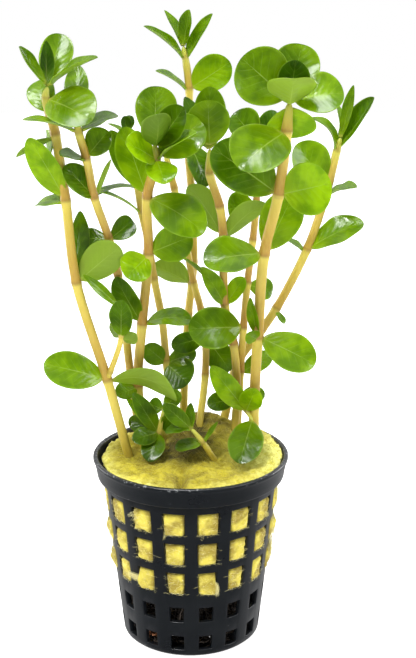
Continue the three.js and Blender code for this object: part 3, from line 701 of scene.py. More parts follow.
# Each kind is strewn evenly over its own place, and a fibre runs from there to an end a little way on:
# along the wool's top, round and down the pot's wall, or, in a wisp, out of one hole in a sheaf
def makeFibres(feet):
    random = np.random.default_rng(21)
    uniform, normal = random.uniform, random.normal
    skins = []

    def lay(start, end, bend, thickness):
        skins.append(hairSkins(start, end - start, bend, uniform(*thickness, len(start))))

    # fibres that lie on the top
    count, thickness = fibres["top"]
    radius = fibres["topRadius"] * np.sqrt(uniform(0.02, 1, count))
    angle = uniform(0, 2 * math.pi, count)
    x, y = radius * np.sin(angle), -radius * np.cos(angle)
    start = np.stack([x, y, woolTop(x, y, feet) + 0.02], axis=-1)
    heading = uniform(0, 2 * math.pi, count)
    length = uniform(*fibres["topLength"], count)
    end = start + np.stack([length * np.cos(heading), length * np.sin(heading), 0 * x], axis=-1)
    span = np.linalg.norm(end[:, :2], axis=1)
    end[:, :2] *= np.minimum(1, (fibres["topRadius"] + 0.1) / span)[:, None]
    end[:, 2] = woolTop(end[:, 0], end[:, 1], feet) + uniform(-0.1, 0.25, count)
    bend = normal(size=(count, 3)) * 0.25
    bend[:, 2] = np.abs(bend[:, 2]) * 0.8
    lay(start, end, bend, thickness)

    # loose ends round the top's edge, most of them at the right
    count, thickness = fibres["edging"]
    angle = normal(*fibres["edgingSide"], count)
    radius, rise = uniform(*fibres["edgingRadius"], count), uniform(0.1, 1.1, count)
    x, y = radius * np.sin(angle), -radius * np.cos(angle)
    start = turned(radius, angle, woolTop(x, y, feet) - 0.3)
    turnTo = angle + normal(0, 0.03, count)
    radius = np.minimum(radius + uniform(0, 1, count), fibres["edgingReach"])
    end = turned(radius, turnTo, start[:, 2] + rise)
    bend = normal(size=(count, 3)) * 0.2
    lay(start, end, bend, thickness)

    # a fringe on the edges of the holes
    count, thickness = fibres["fringe"]
    column = random.integers(0, pot["columns"], count) + 0.5
    middle, width, tall = pot["rows"][random.integers(2, 5, count)].T
    across = uniform(-0.5, 0.5, count) * width
    low = uniform(0, 1, count) < fibres["fringeLow"]
    height = middle + tall * np.where(low, -0.5 + uniform(0.0, 0.09, count), uniform(-0.5, 0.5, count))
    angle = column * pitch + across / wallRadius(height)
    start = turned(wallRadius(height) - uniform(-0.1, 0.2, count), angle, height)
    angle = angle + normal(0, 0.032, count)
    height = height - uniform(-0.3, 0.6, count)
    end = turned(wallRadius(height) + uniform(-0.1, 0.3, count), angle, height)
    bend = turned(uniform(0, 0.3, count), angle, 0 * angle)
    lay(start, end, bend, thickness)

    # short fibres that lie on the wool in the holes
    count, thickness = fibres["fuzz"]
    column = random.integers(0, pot["columns"], count) + 0.5
    middle, width, tall = pot["rows"][random.integers(2, 5, count)].T
    angle = column * pitch + uniform(-0.48, 0.48, count) * width / wallRadius(middle)
    height = middle + uniform(-0.48, 0.48, count) * tall
    onWool = wallRadius(height) - pot["wall"] - rockWool["gap"] + standOut(angle, height)
    start = turned(onWool + 0.05, angle, height)
    turnTo, rise = angle + normal(0, 0.045, count), height + normal(0, 0.5, count)
    end = turned(onWool + uniform(0, 0.35, count), turnTo, rise)
    bend = turned(uniform(0.02, 0.3, count), angle, 0 * angle)
    lay(start, end, bend, thickness)

    for column, across, height, run, drop, out, count, spread in fibres["wisps"]:
        angle = (across + normal(0, 2 * spread, count)) / wallRadius(height) + (column + 0.5) * pitch
        height = height + normal(0, 2 * spread, count)
        start = turned(wallRadius(height) - 0.3, angle, height)
        share = uniform(0.3, 1, count)
        turnTo = angle + (run * share + normal(0, spread, count)) / wallRadius(height)
        fall = height - drop * share + normal(0, spread, count)
        radius = wallRadius(fall) + out * (0.4 + 0.6 * share) * uniform(0.3, 1, count)
        end = turned(radius, turnTo, fall)
        bend = turned(uniform(0, 0.4, count), angle, normal(0, 0.15, count))
        lay(start, end, bend, fibres["wispThickness"])
    points, quads, triangles = gather(skins)
    piece = makePiece("wool_fibres", points, quads, triangles, [fibre], "rock_wool")
    giveAttributes(piece, soaked=soakedShare(points))


roots = {
    # how many of each kind, and the least and the greatest half thickness
    "hanging": (170, (0.12, 0.36)),
    "lying": (420, (0.15, 0.4)),
    "matted": (420, (0.25, 0.45)),
    "knotted": (26, (0.14, 0.3)),
    "hangingRadius": 16.3,
    "drop": (6, 15),
    "lyingRadius": 14.5,
    "mattedRadii": (6.5, 15.5),
    "knot": (-9.6, -12.6, 3.6),
    "clearance": 0.5,  # between a root and the inside of the pot's wall
}


# Roots hang from the plug's foot into the empty part of the pot, or lie on its floor. They are hairs
# like the fibres, and one that would pass the wall is drawn in to it.
def makeRoots():
    random = np.random.default_rng(5)
    uniform, normal = random.uniform, random.normal
    skins = []

    # bend is the spread of its amount in x, y and z
    def lay(start, way, bend, thickness):
        bends = normal(size=(len(start), 3)) * bend
        skins.append(hairSkins(start, way, bends, uniform(*thickness, len(start))))

    # roots that lie on the floor: heights above it, sway across it, and rise along them
    def layFlat(radius, angle, heights, sway, rise, bend, thickness):
        count = len(radius)
        start = turned(radius, angle, pot["floor"] + uniform(*heights, count))
        way = [normal(0, sway, count), normal(0, sway, count), uniform(*rise, count)]
        lay(start, np.stack(way, axis=-1), bend, thickness)

    count, thickness = roots["hanging"]
    angle = uniform(0, 2 * math.pi, count)
    radius = roots["hangingRadius"] * uniform(0.1, 1, count) ** 0.4
    start = turned(radius, angle, np.full(count, rockWool["foot"] + 0.6))
    drop = uniform(*roots["drop"], count)
    way = [normal(0, 2.2, count), normal(0, 2.2, count), -drop]
    lay(start, np.stack(way, axis=-1), 1.1, thickness)
    # others lie curled on the pot's floor
    count, thickness = roots["lying"]
    angle = uniform(0, 2 * math.pi, count)
    radius = roots["lyingRadius"] * uniform(0.02, 1, count) ** 0.5
    layFlat(radius, angle, (0.4, 2.6), 3.2, (-0.2, 1), (1.1, 1.1, 0.2), thickness)
    # more of them lie across the floor's slots
    count, thickness = roots["matted"]
    angle = (random.integers(0, pot["slots"], count) + 0.5) * 2 * math.pi / pot["slots"]
    angle = angle + normal(0, 0.15, count)
    radius = uniform(*roots["mattedRadii"], count)
    layFlat(radius, angle, (0.3, 0.8), 2.0, (-0.1, 0.2), (0.5, 0.5, 0.1), thickness)
    # and a few young rusty ones are knotted behind a hole at the front
    count, thickness = roots["knotted"]
    start = roots["knot"] + normal(size=(count, 3)) * [1.0, 0.8, 0.7]
    way = normal(size=(count, 3)) * [1.3, 0.8, 0.5]
    lay(start, way, 0.5, thickness)
    points, quads, triangles = gather(skins)
    # all of them stay inside the pot's wall
    span = np.hypot(points[:, 0], points[:, 1])
    room = wallRadius(points[:, 2]) - pot["wall"] - roots["clearance"]
    points[:, :2] *= np.minimum(1, room / np.maximum(span, 0.1))[:, None]
    piece = makePiece("hanging_roots", points, quads, triangles, [rootSkin], "rock_wool")
    giveAttributes(piece, rusty=np.arange(len(points)) >= len(points) - len(skins[-1][0]))


# The plant's stems and shoots: how thick each is, how far its stretches are tanned, the points of its
# line, and its leaves. A leaf is a row: the point that it grows from, the way from there to its tip,
# the way its upper side looks, its width, cup, which lifts its edges, arch, which lifts its middle,
# and tone, from 0 for dark to 1 for bright, which is partly the leaf's own colour and partly painted
# shade and light. A leaf with a name is a piece of its own, and the others are one piece with their stem.
stems = [
    dict(name="far_left", thick=2.4, blush=0.75, line=[
        (-16.5, -1.5, 50), (-21.5, -5, 72.5), (-28.5, -6.5, 98.5), (-30.5, -7, 119.5), (-32.5, -7, 135.5),
        (-33.5, -7, 140), (-34.5, -7, 144), (-34, -7, 147)
    ], leaves=[
        (1, (-15.5, -4, 5.5), (0, -1, 0.6), 10, 0.1, 0.05, 0.5, "low_left"),
        (1, (18, -2, -5), (0, 1, 0.4), 7.5, 0.1, 0.28, 0.5, "low_right"),
        (2, (11, 1, 9), (0.2, 1, 0.2), 9.5, 0.1, 0.05, 0.5, "middle_right"),
        (2, (1, 7.5, 17), (0.4, -1, 0.2), 6, 0.2, 0, 0.2, "middle_back"),
        (3, (-8, -4, 15.5), (-0.3, -1, 0.1), 8, 0.1, -0.03, 0.8, "high_left"),
        (3, (-8, 6, -2), (0.1, -0.6, 1), 6, 0.05, 0.08, 0.5),
        (4, (-3, 9, -8), (0, -1, 0.8), 12, 0.1, 0.05, 0.8),
        (4, (-10, 2, -5.5), (0, 0.5, 1), 4, 0.1, 0.03, 0.4),
        (6, (11.5, -8.5, -4.5), (0.2, -1, 0.6), 12.5, 0.12, 0.08, 0.5, "upper_right"),
        (5, (-3.5, 5, 8), (-0.2, -1, 0.4), 7.5, 0.1, 0.05, 0.45, "upper_left"),
        (7, (-5.5, -6, 9.5), (0.75, -0.6, 0.6), 4.8, 0.45, -0.05, 0.35, "top_left"),
        (7, (12.5, -8, 7.5), (-0.3, -0.3, 1), 6.5, 0.35, 0.03, 0.35, "top_right"),
        (7, (3, 6, 12), (0, -1, 0.3), 8.5, 0.2, -0.04, 0.4, "top_back"),
        (7, (0, 1, 10.5), (0.3, -1, 0.2), 4, 0.4, -0.04, 0),
    ]),
    dict(name="left", thick=2.1, blush=0.9, line=[
        (-14, 9, 52), (-16, 7.5, 69), (-17, 5, 81.5), (-18.5, 0.5, 99), (-20.5, -2, 109), (-23.5, -6, 120),
        (-25, -9, 130), (-26.5, -11, 136.5), (-27, -11.5, 140.5)
    ], leaves=[
        (4, (6, 5, 3.5), (0.3, -1, 0.3), 6, 0.5, 0, 0.05),
        (4, (-7.5, 3, -1), (0, -1, 0.6), 6, 0.1, 0.1, 0.15),
        (5, (-7, -3, 8), (0.5, -1, 0.5), 7, 0.15, 0.05, 0.15),
        (5, (4, 3, 9), (-1, 0.5, 0), 2.8, 0.1, 0, 0.7),
        (6, (-6, -3, 1), (0, -0.25, 1), 8, 0.1, 0.05, 0.1),
        (6, (5.5, 0, 6.5), (0.2, -1, 0.7), 7, 0.12, 0.05, 0.25, "upper_right"),
        (7, (-13, -1, 3.5), (0, -0.1, 1), 7, 0.1, 0.05, 0.5, "top_left"),
        (7, (9, 4, 4), (0, -0.2, 1), 8.5, 0.1, 0.05, 0.15, "top_right"),
        (8, (0, 10, 11.5), (0.1, -1, 0.5), 6.5, 0.2, 0, 0.4),
    ]),
    dict(name="tallest", thick=2.1, blush=0.55, line=[
        (-2, 13, 55), (-1.5, 14, 69), (-0.5, 15, 84.5), (0.5, 15.5, 93), (1, 16, 99), (0.5, 16.5, 117.5),
        (-0.5, 17, 131.5), (0, 17, 144.5), (-1, 17, 152.5), (-1.5, 17, 155.5)
    ], leaves=[
        (3, (-10.5, -3, 6), (0, 0.9, 0.6), 8.5, 0.1, 0.03, 0.5, "low_left"),
        (6, (5, -3, -12), (0.5, -1, 0.4), 7.5, 0.15, 0.08, 0.05),
        (7, (10.5, -3, 7), (0, -1, 0.15), 9.5, 0.12, 0, 0.6, "upper_right"),
        (7, (-8.5, -1, 5), (0.2, -0.15, 1), 5.5, 0.2, 0.05, 0.4),
        (8, (-10.5, -2, 8), (0.4, -0.3, 1), 5.5, 0.35, 0.05, 0.35),
        (8, (7, -1, 11), (-0.5, -0.6, 0.6), 4.8, 0.45, 0, 0.35),
        (9, (-4.5, 2, 9), (0.7, -0.5, 0.4), 4, 0.35, 0, 0.3),
        (9, (1.5, -1, 9), (-0.5, -0.7, 0.1), 4.5, 0.35, 0, 0.35),
    ]),
    dict(name="centre_left", thick=2.5, blush=1.0, line=[
        (-12.5, 6.5, 52.5), (-14, 5, 67.5), (-12.5, 1.5, 85.5), (-10.5, -2, 105), (-10.5, -6, 120),
        (-8, -9, 130), (-8.5, -10, 133.5)
    ], leaves=[
        (1, (-5.5, -5, -1), (-0.2, -1, 0.6), 5.5, 0.1, 0.05, 0.3),
        (2, (-6.5, -3, 13), (-0.3, -1, 0.2), 7, 0.15, 0.03, 0.1, "low_left"),
        (2, (13, -2, 1.5), (0, -0.4, 1), 8.5, 0.1, 0.12, 0.35, "low_right"),
        (3, (-5.5, -5, -5), (0, -1, 0.3), 9, 0.15, 0.05, 0.85),
        (3, (11, -3, 5), (0, -1, 0.2), 9.5, 0.12, 0.03, 0.35, "middle_right"),
        (4, (-5.5, 1, 17), (0.3, -1, 0.1), 9, 0.12, -0.03, 0.6, "high_left"),
        (4, (14, -6, -7.5), (0.2, -1, 0.8), 12, 0.12, 0.08, 0.5, "high_right"),
        (5, (-7, -8, 4.5), (-0.2, -1, 0.7), 8.5, 0.15, 0.05, 0.9),
        (5, (2, -8, -5), (0.2, -1, 0.6), 8, 0.1, 0.08, 0.9),
        (5, (11, 2, 8.5), (0.1, -1, 0.5), 11, 0.12, 0.03, 0.5, "upper_right"),
        (5, (9.5, -7, 7), (0, -0.5, 1), 6.5, 0.2, 0.05, 0.5),
        (6, (0.5, 4, 13.5), (0, -1, 0.3), 10.5, 0.25, -0.05, 0.4, "top_back"),
        (6, (1, -8, 8), (0, -0.6, 1), 8, 0.3, -0.1, 0.05),
        (6, (7, -4, 9), (-0.2, -1, 0.5), 8.5, 0.3, -0.05, 0.1),
    ]),
    dict(name="inner_left", thick=2, blush=0.6, line=[
        (-5, 6, 55.5), (-6.5, 9, 73), (-7.5, 9.5, 84.5), (-9.5, 9, 96), (-11, 8.5, 106.5), (-12.5, 8, 114),
        (-13.5, 8, 121), (-15.5, 8.5, 130.5), (-16, 8.5, 134.5)
    ], leaves=[
        (1, (8, -1, 3), (0, -1, 0.5), 5.5, 0.1, 0.05, 0.3),
        (1, (-5.5, -2, 5), (0, -1, 0.3), 6, 0.1, 0.05, 0.3),
        (5, (-14, -10, 7.5), (0, -0.3, 1), 3.2, 0.1, 0.08, 0.6),
        (6, (-11, -8, -1.5), (0, -0.05, 1), 5, 0.1, 0.08, 0.1),
        (6, (-6.5, -3, 14), (0, -1, 0.3), 7, 0.15, 0.03, 0.25),
        (8, (-5, 2, 2), (0.3, -0.2, 1), 2.2, 0.2, 0.05, 0.6),
        (8, (-0.5, -1, 4), (0.4, -1, 0.2), 3, 0.3, 0, 0),
        (8, (1, 1, 4), (-0.4, -1, 0.2), 3.5, 0.3, 0, 0),
        (1, (6, -4, -5), (0, -1, 0.3), 10, 0.1, 0.05, 0.1),
    ]),
    dict(name="inner_middle", thick=1.9, blush=0.8, line=[
        (2.5, 5, 57.5), (4, 8, 69.5), (4, 10, 80), (3, 11, 86.5), (1, 11.5, 94), (-1, 11.5, 104.5),
        (-4, 11, 119.5), (-5.5, 11, 125.5), (-6.5, 11, 130)
    ], leaves=[
        (2, (7, 2.5, -11), (0.1, -1, 0.4), 8, 0.1, 0.05, 0.2),
        (2, (-9, -2, -2.5), (0, -1, 0.3), 6, 0.1, 0.05, 0.1),
        (8, (3, 3, 9), (0, -1, 0.2), 6.5, 0.2, 0, 0.4),
    ]),
    dict(name="centre_right", thick=2.2, blush=1.0, line=[
        (12, 6, 55.5), (12.5, 5.5, 64), (11.5, 4.5, 79), (9, 3, 90.5), (8.5, 0, 109), (7.5, -1.5, 117),
        (5, -3, 125.5), (5, -3, 131.5)
    ], leaves=[
        (1, (-8, -3, -1), (0, -1, 0.5), 5.5, 0.1, 0.05, 0.15),
        (1, (7.5, 0, 1), (0, -1, 0.4), 5, 0.1, 0.05, 0.3),
        (3, (-6, -6, 11), (0.4, -1, 0.2), 5.5, 0.15, 0.05, 0.5),
        (3, (5, 0, 7), (-0.5, -1, 0.3), 5, 0.2, 0, 0.75),
        (3, (-13, -3, 14.5), (0.2, 0.3, 1), 4, 0.1, 0.08, 0.1),
        (4, (-8.5, 1, 13), (0.2, 1, 0.2), 8, 0.1, 0.05, 0.5, "middle_left"),
        (4, (10.5, -2, 9), (0, 1, 0.4), 6.5, 0.1, 0.14, 0.5),
        (7, (-0.5, -2, 12), (0, -1, 0.1), 11, 0.15, 0, 0.45, "top_front"),
        (7, (0, 1, 15), (0, -1, 0.2), 8.5, 0.2, 0, 0.3),
        (7, (-6, 3, 12.5), (0.2, -1, 0.3), 5.5, 0.2, 0, 0.05),
    ]),
    dict(name="right", thick=2.7, blush=0.85, line=[
        (17, 4, 53), (17, 2, 65.5), (17.5, -2, 83), (18.5, -8, 106), (21.5, -12, 121.5), (23, -15, 137),
        (23.5, -15.5, 144)
    ], leaves=[
        (2, (14.5, -4, -6.5), (0.2, -1, 0.5), 10.5, 0.12, 0.06, 0.6, "low_right"),
        (2, (-3, -5, 2), (-0.3, -1, 0.3), 4.5, 0.1, 0.05, 0.4),
        (2, (-2.5, -6, 11.5), (-0.5, -1, 0.2), 3.5, 0.2, 0, 0.4),
        (3, (-15, -5, -1), (0, -0.8, 1), 12, 0.15, 0.06, 0.4, "middle_left"),
        (3, (7.5, 6, 14), (0, -1, 0.2), 11, 0.1, 0, 0.6, "middle_back"),
        (4, (-16, -2, 11.5), (0, -1, 0.25), 13, 0.1, 0.05, 0.1, "high_left"),
        (4, (12, -5, 3.5), (0.2, -1, 0.1), 13.5, 0.12, 0.03, 0.85, "high_right"),
        (6, (0.5, 3, -9), (0, -1, 0.3), 12.5, 0.1, 0, 1),
        (5, (-11.5, -10, -7.5), (0.1, -0.8, 1), 15, 0.15, 0.08, 0.4, "upper_front"),
        (6, (-11.5, -1, 10), (0, -1, 0.3), 14.5, 0.12, 0.02, 0.3, "top_left"),
        (6, (12.5, -1.5, 2), (0, -1, 0.8), 11.5, 0.12, 0.08, 0.55, "top_right"),
        (6, (3, 4, 13), (0, -1, 0.35), 11.5, 0.2, -0.05, 0.4, "top_back"),
        (6, (0, -9.5, 6), (0, 0.4, 1), 12, 0.2, -0.05, 0.6),
        # made dark as painted shade: this leaf stands for the shaded hollow behind the cupped leaf in front
        # of it
        (6, (1, -3, 9.5), (0, -1, 0.3), 8, 0.1, 0, 0),
    ]),
    dict(name="leaning_right", thick=2.3, blush=0.7, line=[
        (9.5, 11, 57), (13, 14, 71), (19.5, 15, 80), (23.5, 15.5, 86), (31.5, 16.5, 102), (36.5, 17, 117.5),
        (39, 17.5, 128.5), (40, 17.5, 132)
    ], leaves=[
        (3, (2, -3, -3.5), (0.2, -0.3, 1), 2.5, 0.1, 0.05, 0.5),
        (4, (14.5, -3, 8), (0, -0.8, 1), 9, 0.15, 0.06, 0.5, "middle_right"),
        (4, (-6.5, 1, 3), (0, -0.1, 1), 4.5, 0.1, 0.05, 0.3),
        (5, (7.5, -3, 2), (0, -0.15, 1), 8, 0.15, 0.05, 0.35),
        (5, (-8.5, -3, 13), (0.2, -1, 0.5), 11.5, 0.12, 0.05, 0.5, "high_left"),
        (6, (9, -1, 14), (-0.6, -0.5, 0.5), 7, 0.5, -0.03, 0.1, "top_right"),
        (6, (-7, 0, 8.5), (0.3, -0.3, 1), 6, 0.25, 0.2, 0.35),
        (7, (2.5, -1, 13.5), (-0.6, -1, 0.1), 3.5, 0.3, -0.03, 0.3),
        (7, (-1.5, 5, 9), (0.5, -0.3, 0.5), 3.5, 0.3, 0.1, 0.4),
    ]),
    dict(name="inner_right", thick=1.9, blush=1.0, line=[
        (13, 9.5, 56.5), (13.5, 7.5, 70.5), (14, 3.5, 84), (15, 5, 95.5), (16.5, 9, 106), (17.5, 12, 115.5),
        (17.5, 14, 126.5), (17.5, 14, 131.5)
    ], leaves=[
        (1, (8.5, 3, 4), (0, -1, 0.5), 5.5, 0.1, 0.05, 0.4),
        (2, (-14.5, -7, 1.5), (0, -1, 0.35), 11.5, 0.1, 0.05, 0.25, "low_left"),
        (3, (7, 4, -3), (0, -1, 0.3), 6, 0.1, 0.05, 0.4),
        (5, (-7.5, 2, -2), (0, -1, 0.3), 8, 0.1, 0.05, 0.4),
        (7, (-6, 1, 7), (0, -1, 0.3), 9, 0.15, 0.05, 0.15, "top_left"),
        (7, (5, 1, 7.5), (0, -1, 0.2), 6, 0.15, 0.05, 0),
    ]),
]

# Side shoots: the first two grow from a stem, and the others stand in the wool
shoots = [
    dict(name="far_left", thick=1.4, onStem=True, line=[
        (-21.5, -5.5, 72.5), (-20.5, -6, 75), (-17.5, -6, 84.5), (-18, -6.5, 92.5)
    ], leaves=[
        (2, (0.5, -4.5, 10.5), (-0.2, -1, 0.2), 6.5, 0.15, 0.03, 0.1),
        (2, (-3, 3, 2.5), (0, 1, 0.4), 5, 0.1, 0.05, 0.15),
        (2, (4, 0, -1.5), (0, 1, 0.5), 4.5, 0.1, 0.05, 0.4),
        (3, (-8.5, -2, 8.5), (0.5, -1, 0.5), 3.2, 0.15, 0.03, 0.5),
    ]),
    dict(name="right", thick=1.4, onStem=True, line=[
        (12.5, 5.5, 63), (15, 2, 61), (16.5, 0, 59)
    ], leaves=[
        (2, (-4, -12, -7), (-0.1, -1, 0.5), 9.5, 0.08, 0.04, 0.25),
        (1, (-9.5, -1, 13), (0, -1, 0.2), 7, 0.2, 0.05, 0.75),
        (1, (2, -5, 8), (0, -1, 0.3), 6.5, 0.1, 0.05, 0.8),
    ]),
    dict(name="front", thick=1.6, line=[
        (6, -5, 50.5), (3, -7, 56), (0, -7.5, 60)
    ], leaves=[
        (2, (-6.5, -2, -0.5), (0, -0.2, 1), 4.5, 0.1, 0.1, 0.1),
        (2, (-7, -1, 7), (0, -1, 0.3), 4.8, 0.12, 0.03, 0.2),
        (2, (0, 1, 6.5), (-0.5, -1, 0.1), 3, 0.15, 0, 0.15),
        (1, (-7, -1, -1.5), (0, -0.4, 1), 5, 0.1, 0.05, 0.25),
        (1, (4, 0, 5.5), (-0.3, -0.6, 0.6), 1.6, 0.1, 0, 0.4),
    ]),
    dict(name="inner_left", thick=1.5, line=[
        (-9.5, 1, 52.5), (-8.5, 0.5, 56), (-7, -0.5, 63)
    ], leaves=[
        (1, (-6.5, -6, 0), (0, -1, 0.8), 5.5, 0.1, 0.05, 0.1),
        (1, (-2.5, -8, -5), (0, -1, 1), 6.5, 0.1, 0.08, 0.15),
        (1, (-8, 2, 3), (0, -1, 0.4), 5, 0.1, 0.05, 0.2),
        (2, (4, 1, 4.5), (0, -1, 0.3), 4.5, 0.1, 0.05, 0.3),
        (2, (-4, 1, 1), (0, -1, 0.2), 5, 0.1, 0.05, 0.1),
        (1, (-6.5, -2, 11.5), (0.2, -1, 0.2), 5.5, 0.1, 0.05, 0.1),
        (1, (-8.5, 2, 9), (0.3, -1, 0.1), 3, 0.1, 0.05, 0.8),
        (2, (3, 3, -7.5), (0, -1, 0.3), 6, 0.1, 0.05, 0.05),
    ]),
]

foliage = {
    "rootDepth": 7.0,
    "shootStart": 0.6,
    "stalkSides": 20,
    "stalkStep": 0.45,
    "swelling": 0.13,  # how much thicker a stalk is at a joint
    "footThickness": 1.04,  # a stalk's thickness at its foot, as a share of its own
    "thinning": 0.1,  # how much thinner it is at its top
    "ribs": (5, 0.025),  # how many run along it, and how far they stand out
    "topReach": 5.5,  # where it starts to thin to its tip
    "freshReach": 7.5,  # how far down the young green goes
    "shootBlush": 0.3,
    "bladeRows": 26,
    "bladeSides": 24,
    "thickness": 0.36,
    "petiole": 0.55,  # half its width
    "petioleThickness": (0.4, 1.6),  # added at a leaf's base, and how far up it
    "edgeWave": 0.3,
    "waves": (1.1, 1.9),  # how many there are along a leaf
    "fullWave": 8,  # the width from which a leaf has all of the wave
    "crease": (0.16, 0.5),  # its depth and its width
    "pointed": 0.45,  # how much a narrow leaf is drawn in towards its tip
    "narrow": (0.6, 0.2),  # narrower than this for each mm of length, and the run to fully narrow
    "skew": 0.07,
    "droop": 0.05,
    "fold": 0.08,  # rise of each half from the midrib, for each mm across
}


# A smooth line through points: cubic stretches whose slopes at each point weigh the two chords
# there, with the root of each chord's length as its time
def smoothLine(points, step):
    chords = np.diff(points, axis=0)
    lengths = np.linalg.norm(chords, axis=1)
    spans = np.sqrt(lengths)[:, None]
    speed = chords / spans
    inner = speed[:-1] - (points[2:] - points[:-2]) / (spans[:-1] + spans[1:]) + speed[1:]
    slopes = np.vstack([speed[:1], inner, speed[-1:]])
    marks = np.concatenate([[0], np.cumsum(lengths)])
    places = np.linspace(0, marks[-1], int(marks[-1] / step) + 2)
    stretch = np.clip(np.searchsorted(marks, places, side="right") - 1, 0, len(lengths) - 1)
    u = ((places - marks[stretch]) / lengths[stretch])[:, None]
    h = spans[stretch]
    line = (2 * u ** 3 - 3 * u ** 2 + 1) * points[stretch] + (3 * u ** 2 - 2 * u ** 3) * points[stretch + 1]
    line += (u ** 3 - 2 * u ** 2 + u) * h * slopes[stretch] + (u ** 3 - u ** 2) * h * slopes[stretch + 1]
    return line, places, marks


# The stalk is a ring carried along that line. Its radius swells by a bell curve at each joint,
# thins a little upwards, narrows to its top and rounds off at both ends.
def stalkSkin(points, radius, firstJoint, blushShare):
    line, places, marks = smoothLine(points, foliage["stalkStep"])
    joints, fromTop = marks[firstJoint:-1], places[-1] - places
    away = np.abs(places[:, None] - joints[None, :]).min(axis=1)
    thick = radius * (foliage["footThickness"] - foliage["thinning"] * places / places[-1])
    thick *= 1 + foliage["swelling"] * bell(away, radius * 0.9)
    thick *= 0.5 + 0.5 * np.clip(fromTop / foliage["topReach"], 0, 1) ** 0.8
    for fromEnd in (fromTop, places):
        thick *= np.sqrt(np.clip(fromEnd / radius + 0.05, 0, 1))
    ribCount, ribHeight = foliage["ribs"]
    ribs = 1 + ribHeight * np.cos(evenTurns(foliage["stalkSides"])[None, :] * ribCount + 1)
    rings = ringsRound(line, thick[:, None] * ribs, (0.0, 1.0, 0.0), foliage["stalkSides"])
    rings += 0.03 * radius * lumps(rings, 2.5, 11)[..., None] * unit(rings - line[:, None, :])
    # share of the way down from one joint to the next, for the blush at the foot of each stretch
    bounds = np.unique(np.concatenate([[0], joints, [places[-1]]]))
    index = np.clip(np.searchsorted(bounds, places, side="right") - 1, 0, len(bounds) - 2)
    down = 1 - (places - bounds[index]) / (bounds[index + 1] - bounds[index])
    shades = {
        "blush": blushShare * np.clip(down * 1.25 - 0.1, 0, 1) ** 0.8 * np.where(index == 0, 0.35, 1),
        "scar": 0.8 * bell(away - 0.25, 0.25) + 0.2 * bell(away, 0.7),
        "fresh": np.clip(1.1 - fromTop / foliage["freshReach"], 0, 1),
    }
    for label, values in shades.items():
        ringed = np.repeat(values, foliage["stalkSides"])
        shades[label] = np.concatenate([values[:1], ringed, values[-1:]])
    return closedSkin(line[:1], rings, line[-1:]), shades


# Half width of a rounded leaf as a share of its widest, from 0 at its base to 1 at its tip:
# 1.08 t^0.18 times the root of 4t(1 - t)
def leafOutline(t):
    return 1.08 * t ** 0.18 * np.sqrt(4 * t * (1 - t))


# The blade is a flattened ring carried from base to tip: across by the outline, and up by arch
# 4t(1 - t), cup with the square of the distance from the midrib, a crease along the midrib and a
# wave that grows to the edges
def bladeSkin(base, tip, facing, width, cup, arch, seed):
    random = np.random.default_rng(seed)
    way = tip - base
    length = np.linalg.norm(way)
    forward = way / length
    up = np.array(facing, float)
    up = unit(up - up @ forward * forward)
    across = np.cross(forward, up)
    rows = foliage["bladeRows"]
    t = (1 - np.cos(math.pi * np.arange(1, rows) / rows))[:, None] / 2
    turn = evenTurns(foliage["bladeSides"])[None, :]
    side, face = np.cos(turn), np.sin(turn)
    limit, run = foliage["narrow"]
    narrow = np.clip((limit - width / length) / run, 0, 1)
    outline = leafOutline(t) * (1 - foliage["pointed"] * narrow * t ** 3)
    skew = 1 + random.uniform(-foliage["skew"], foliage["skew"]) * side
    half = np.maximum(width / 2 * outline, foliage["petiole"] * np.minimum(1, (1 - t) * 4)) * skew
    added, reach = foliage["petioleThickness"]
    thick = foliage["thickness"] / 2 * np.minimum(1, outline * 1.5) + added * bell(t * length, reach)
    lift = arch * length * 4 * t * (1 - t) + cup * half * side ** 2 + foliage["fold"] * half * np.abs(side)
    depth, wide = foliage["crease"]
    lift -= depth * bell(side * half, wide) * np.sin(math.pi * t ** 0.7)
    phase, beats = random.uniform(0, 2 * math.pi, 2)[0], random.uniform(*foliage["waves"])
    wave = np.sin(2 * math.pi * beats * t + phase + 1.5 * side) * side ** 2
    lift += foliage["edgeWave"] * wave * np.minimum(1, width / foliage["fullWave"]) * np.sin(math.pi * t)
    lift -= random.uniform(0, foliage["droop"]) * length * t ** 3
    rings = (base + way * t[..., None] - across * (half * side)[..., None]
             + up * (lift + thick * face)[..., None])
    end = rings[-1].mean(axis=0) + way * (1 - t[-1, 0])
    below = np.repeat((face[0] < -1e-6)[None], rows - 1, axis=0)
    under = np.concatenate([[0], below.ravel(), [0]])
    mapped = np.stack([0.5 + 0.5 * side + 0 * t, t + 0 * side], axis=-1).reshape(-1, 2)
    mapped = np.vstack([[0.5, 0], mapped, [0.5, 1]])
    return closedSkin(base[None], rings, end[None]), under, mapped


# Gives each corner of a face the place on the leaf that its point has
def giveMap(piece, mapped):
    corners = np.empty(len(piece.data.loops), int)
    piece.data.loops.foreach_get("vertex_index", corners)
    piece.data.uv_layers.new(name="blade").data.foreach_set("uv", mapped[corners].ravel())


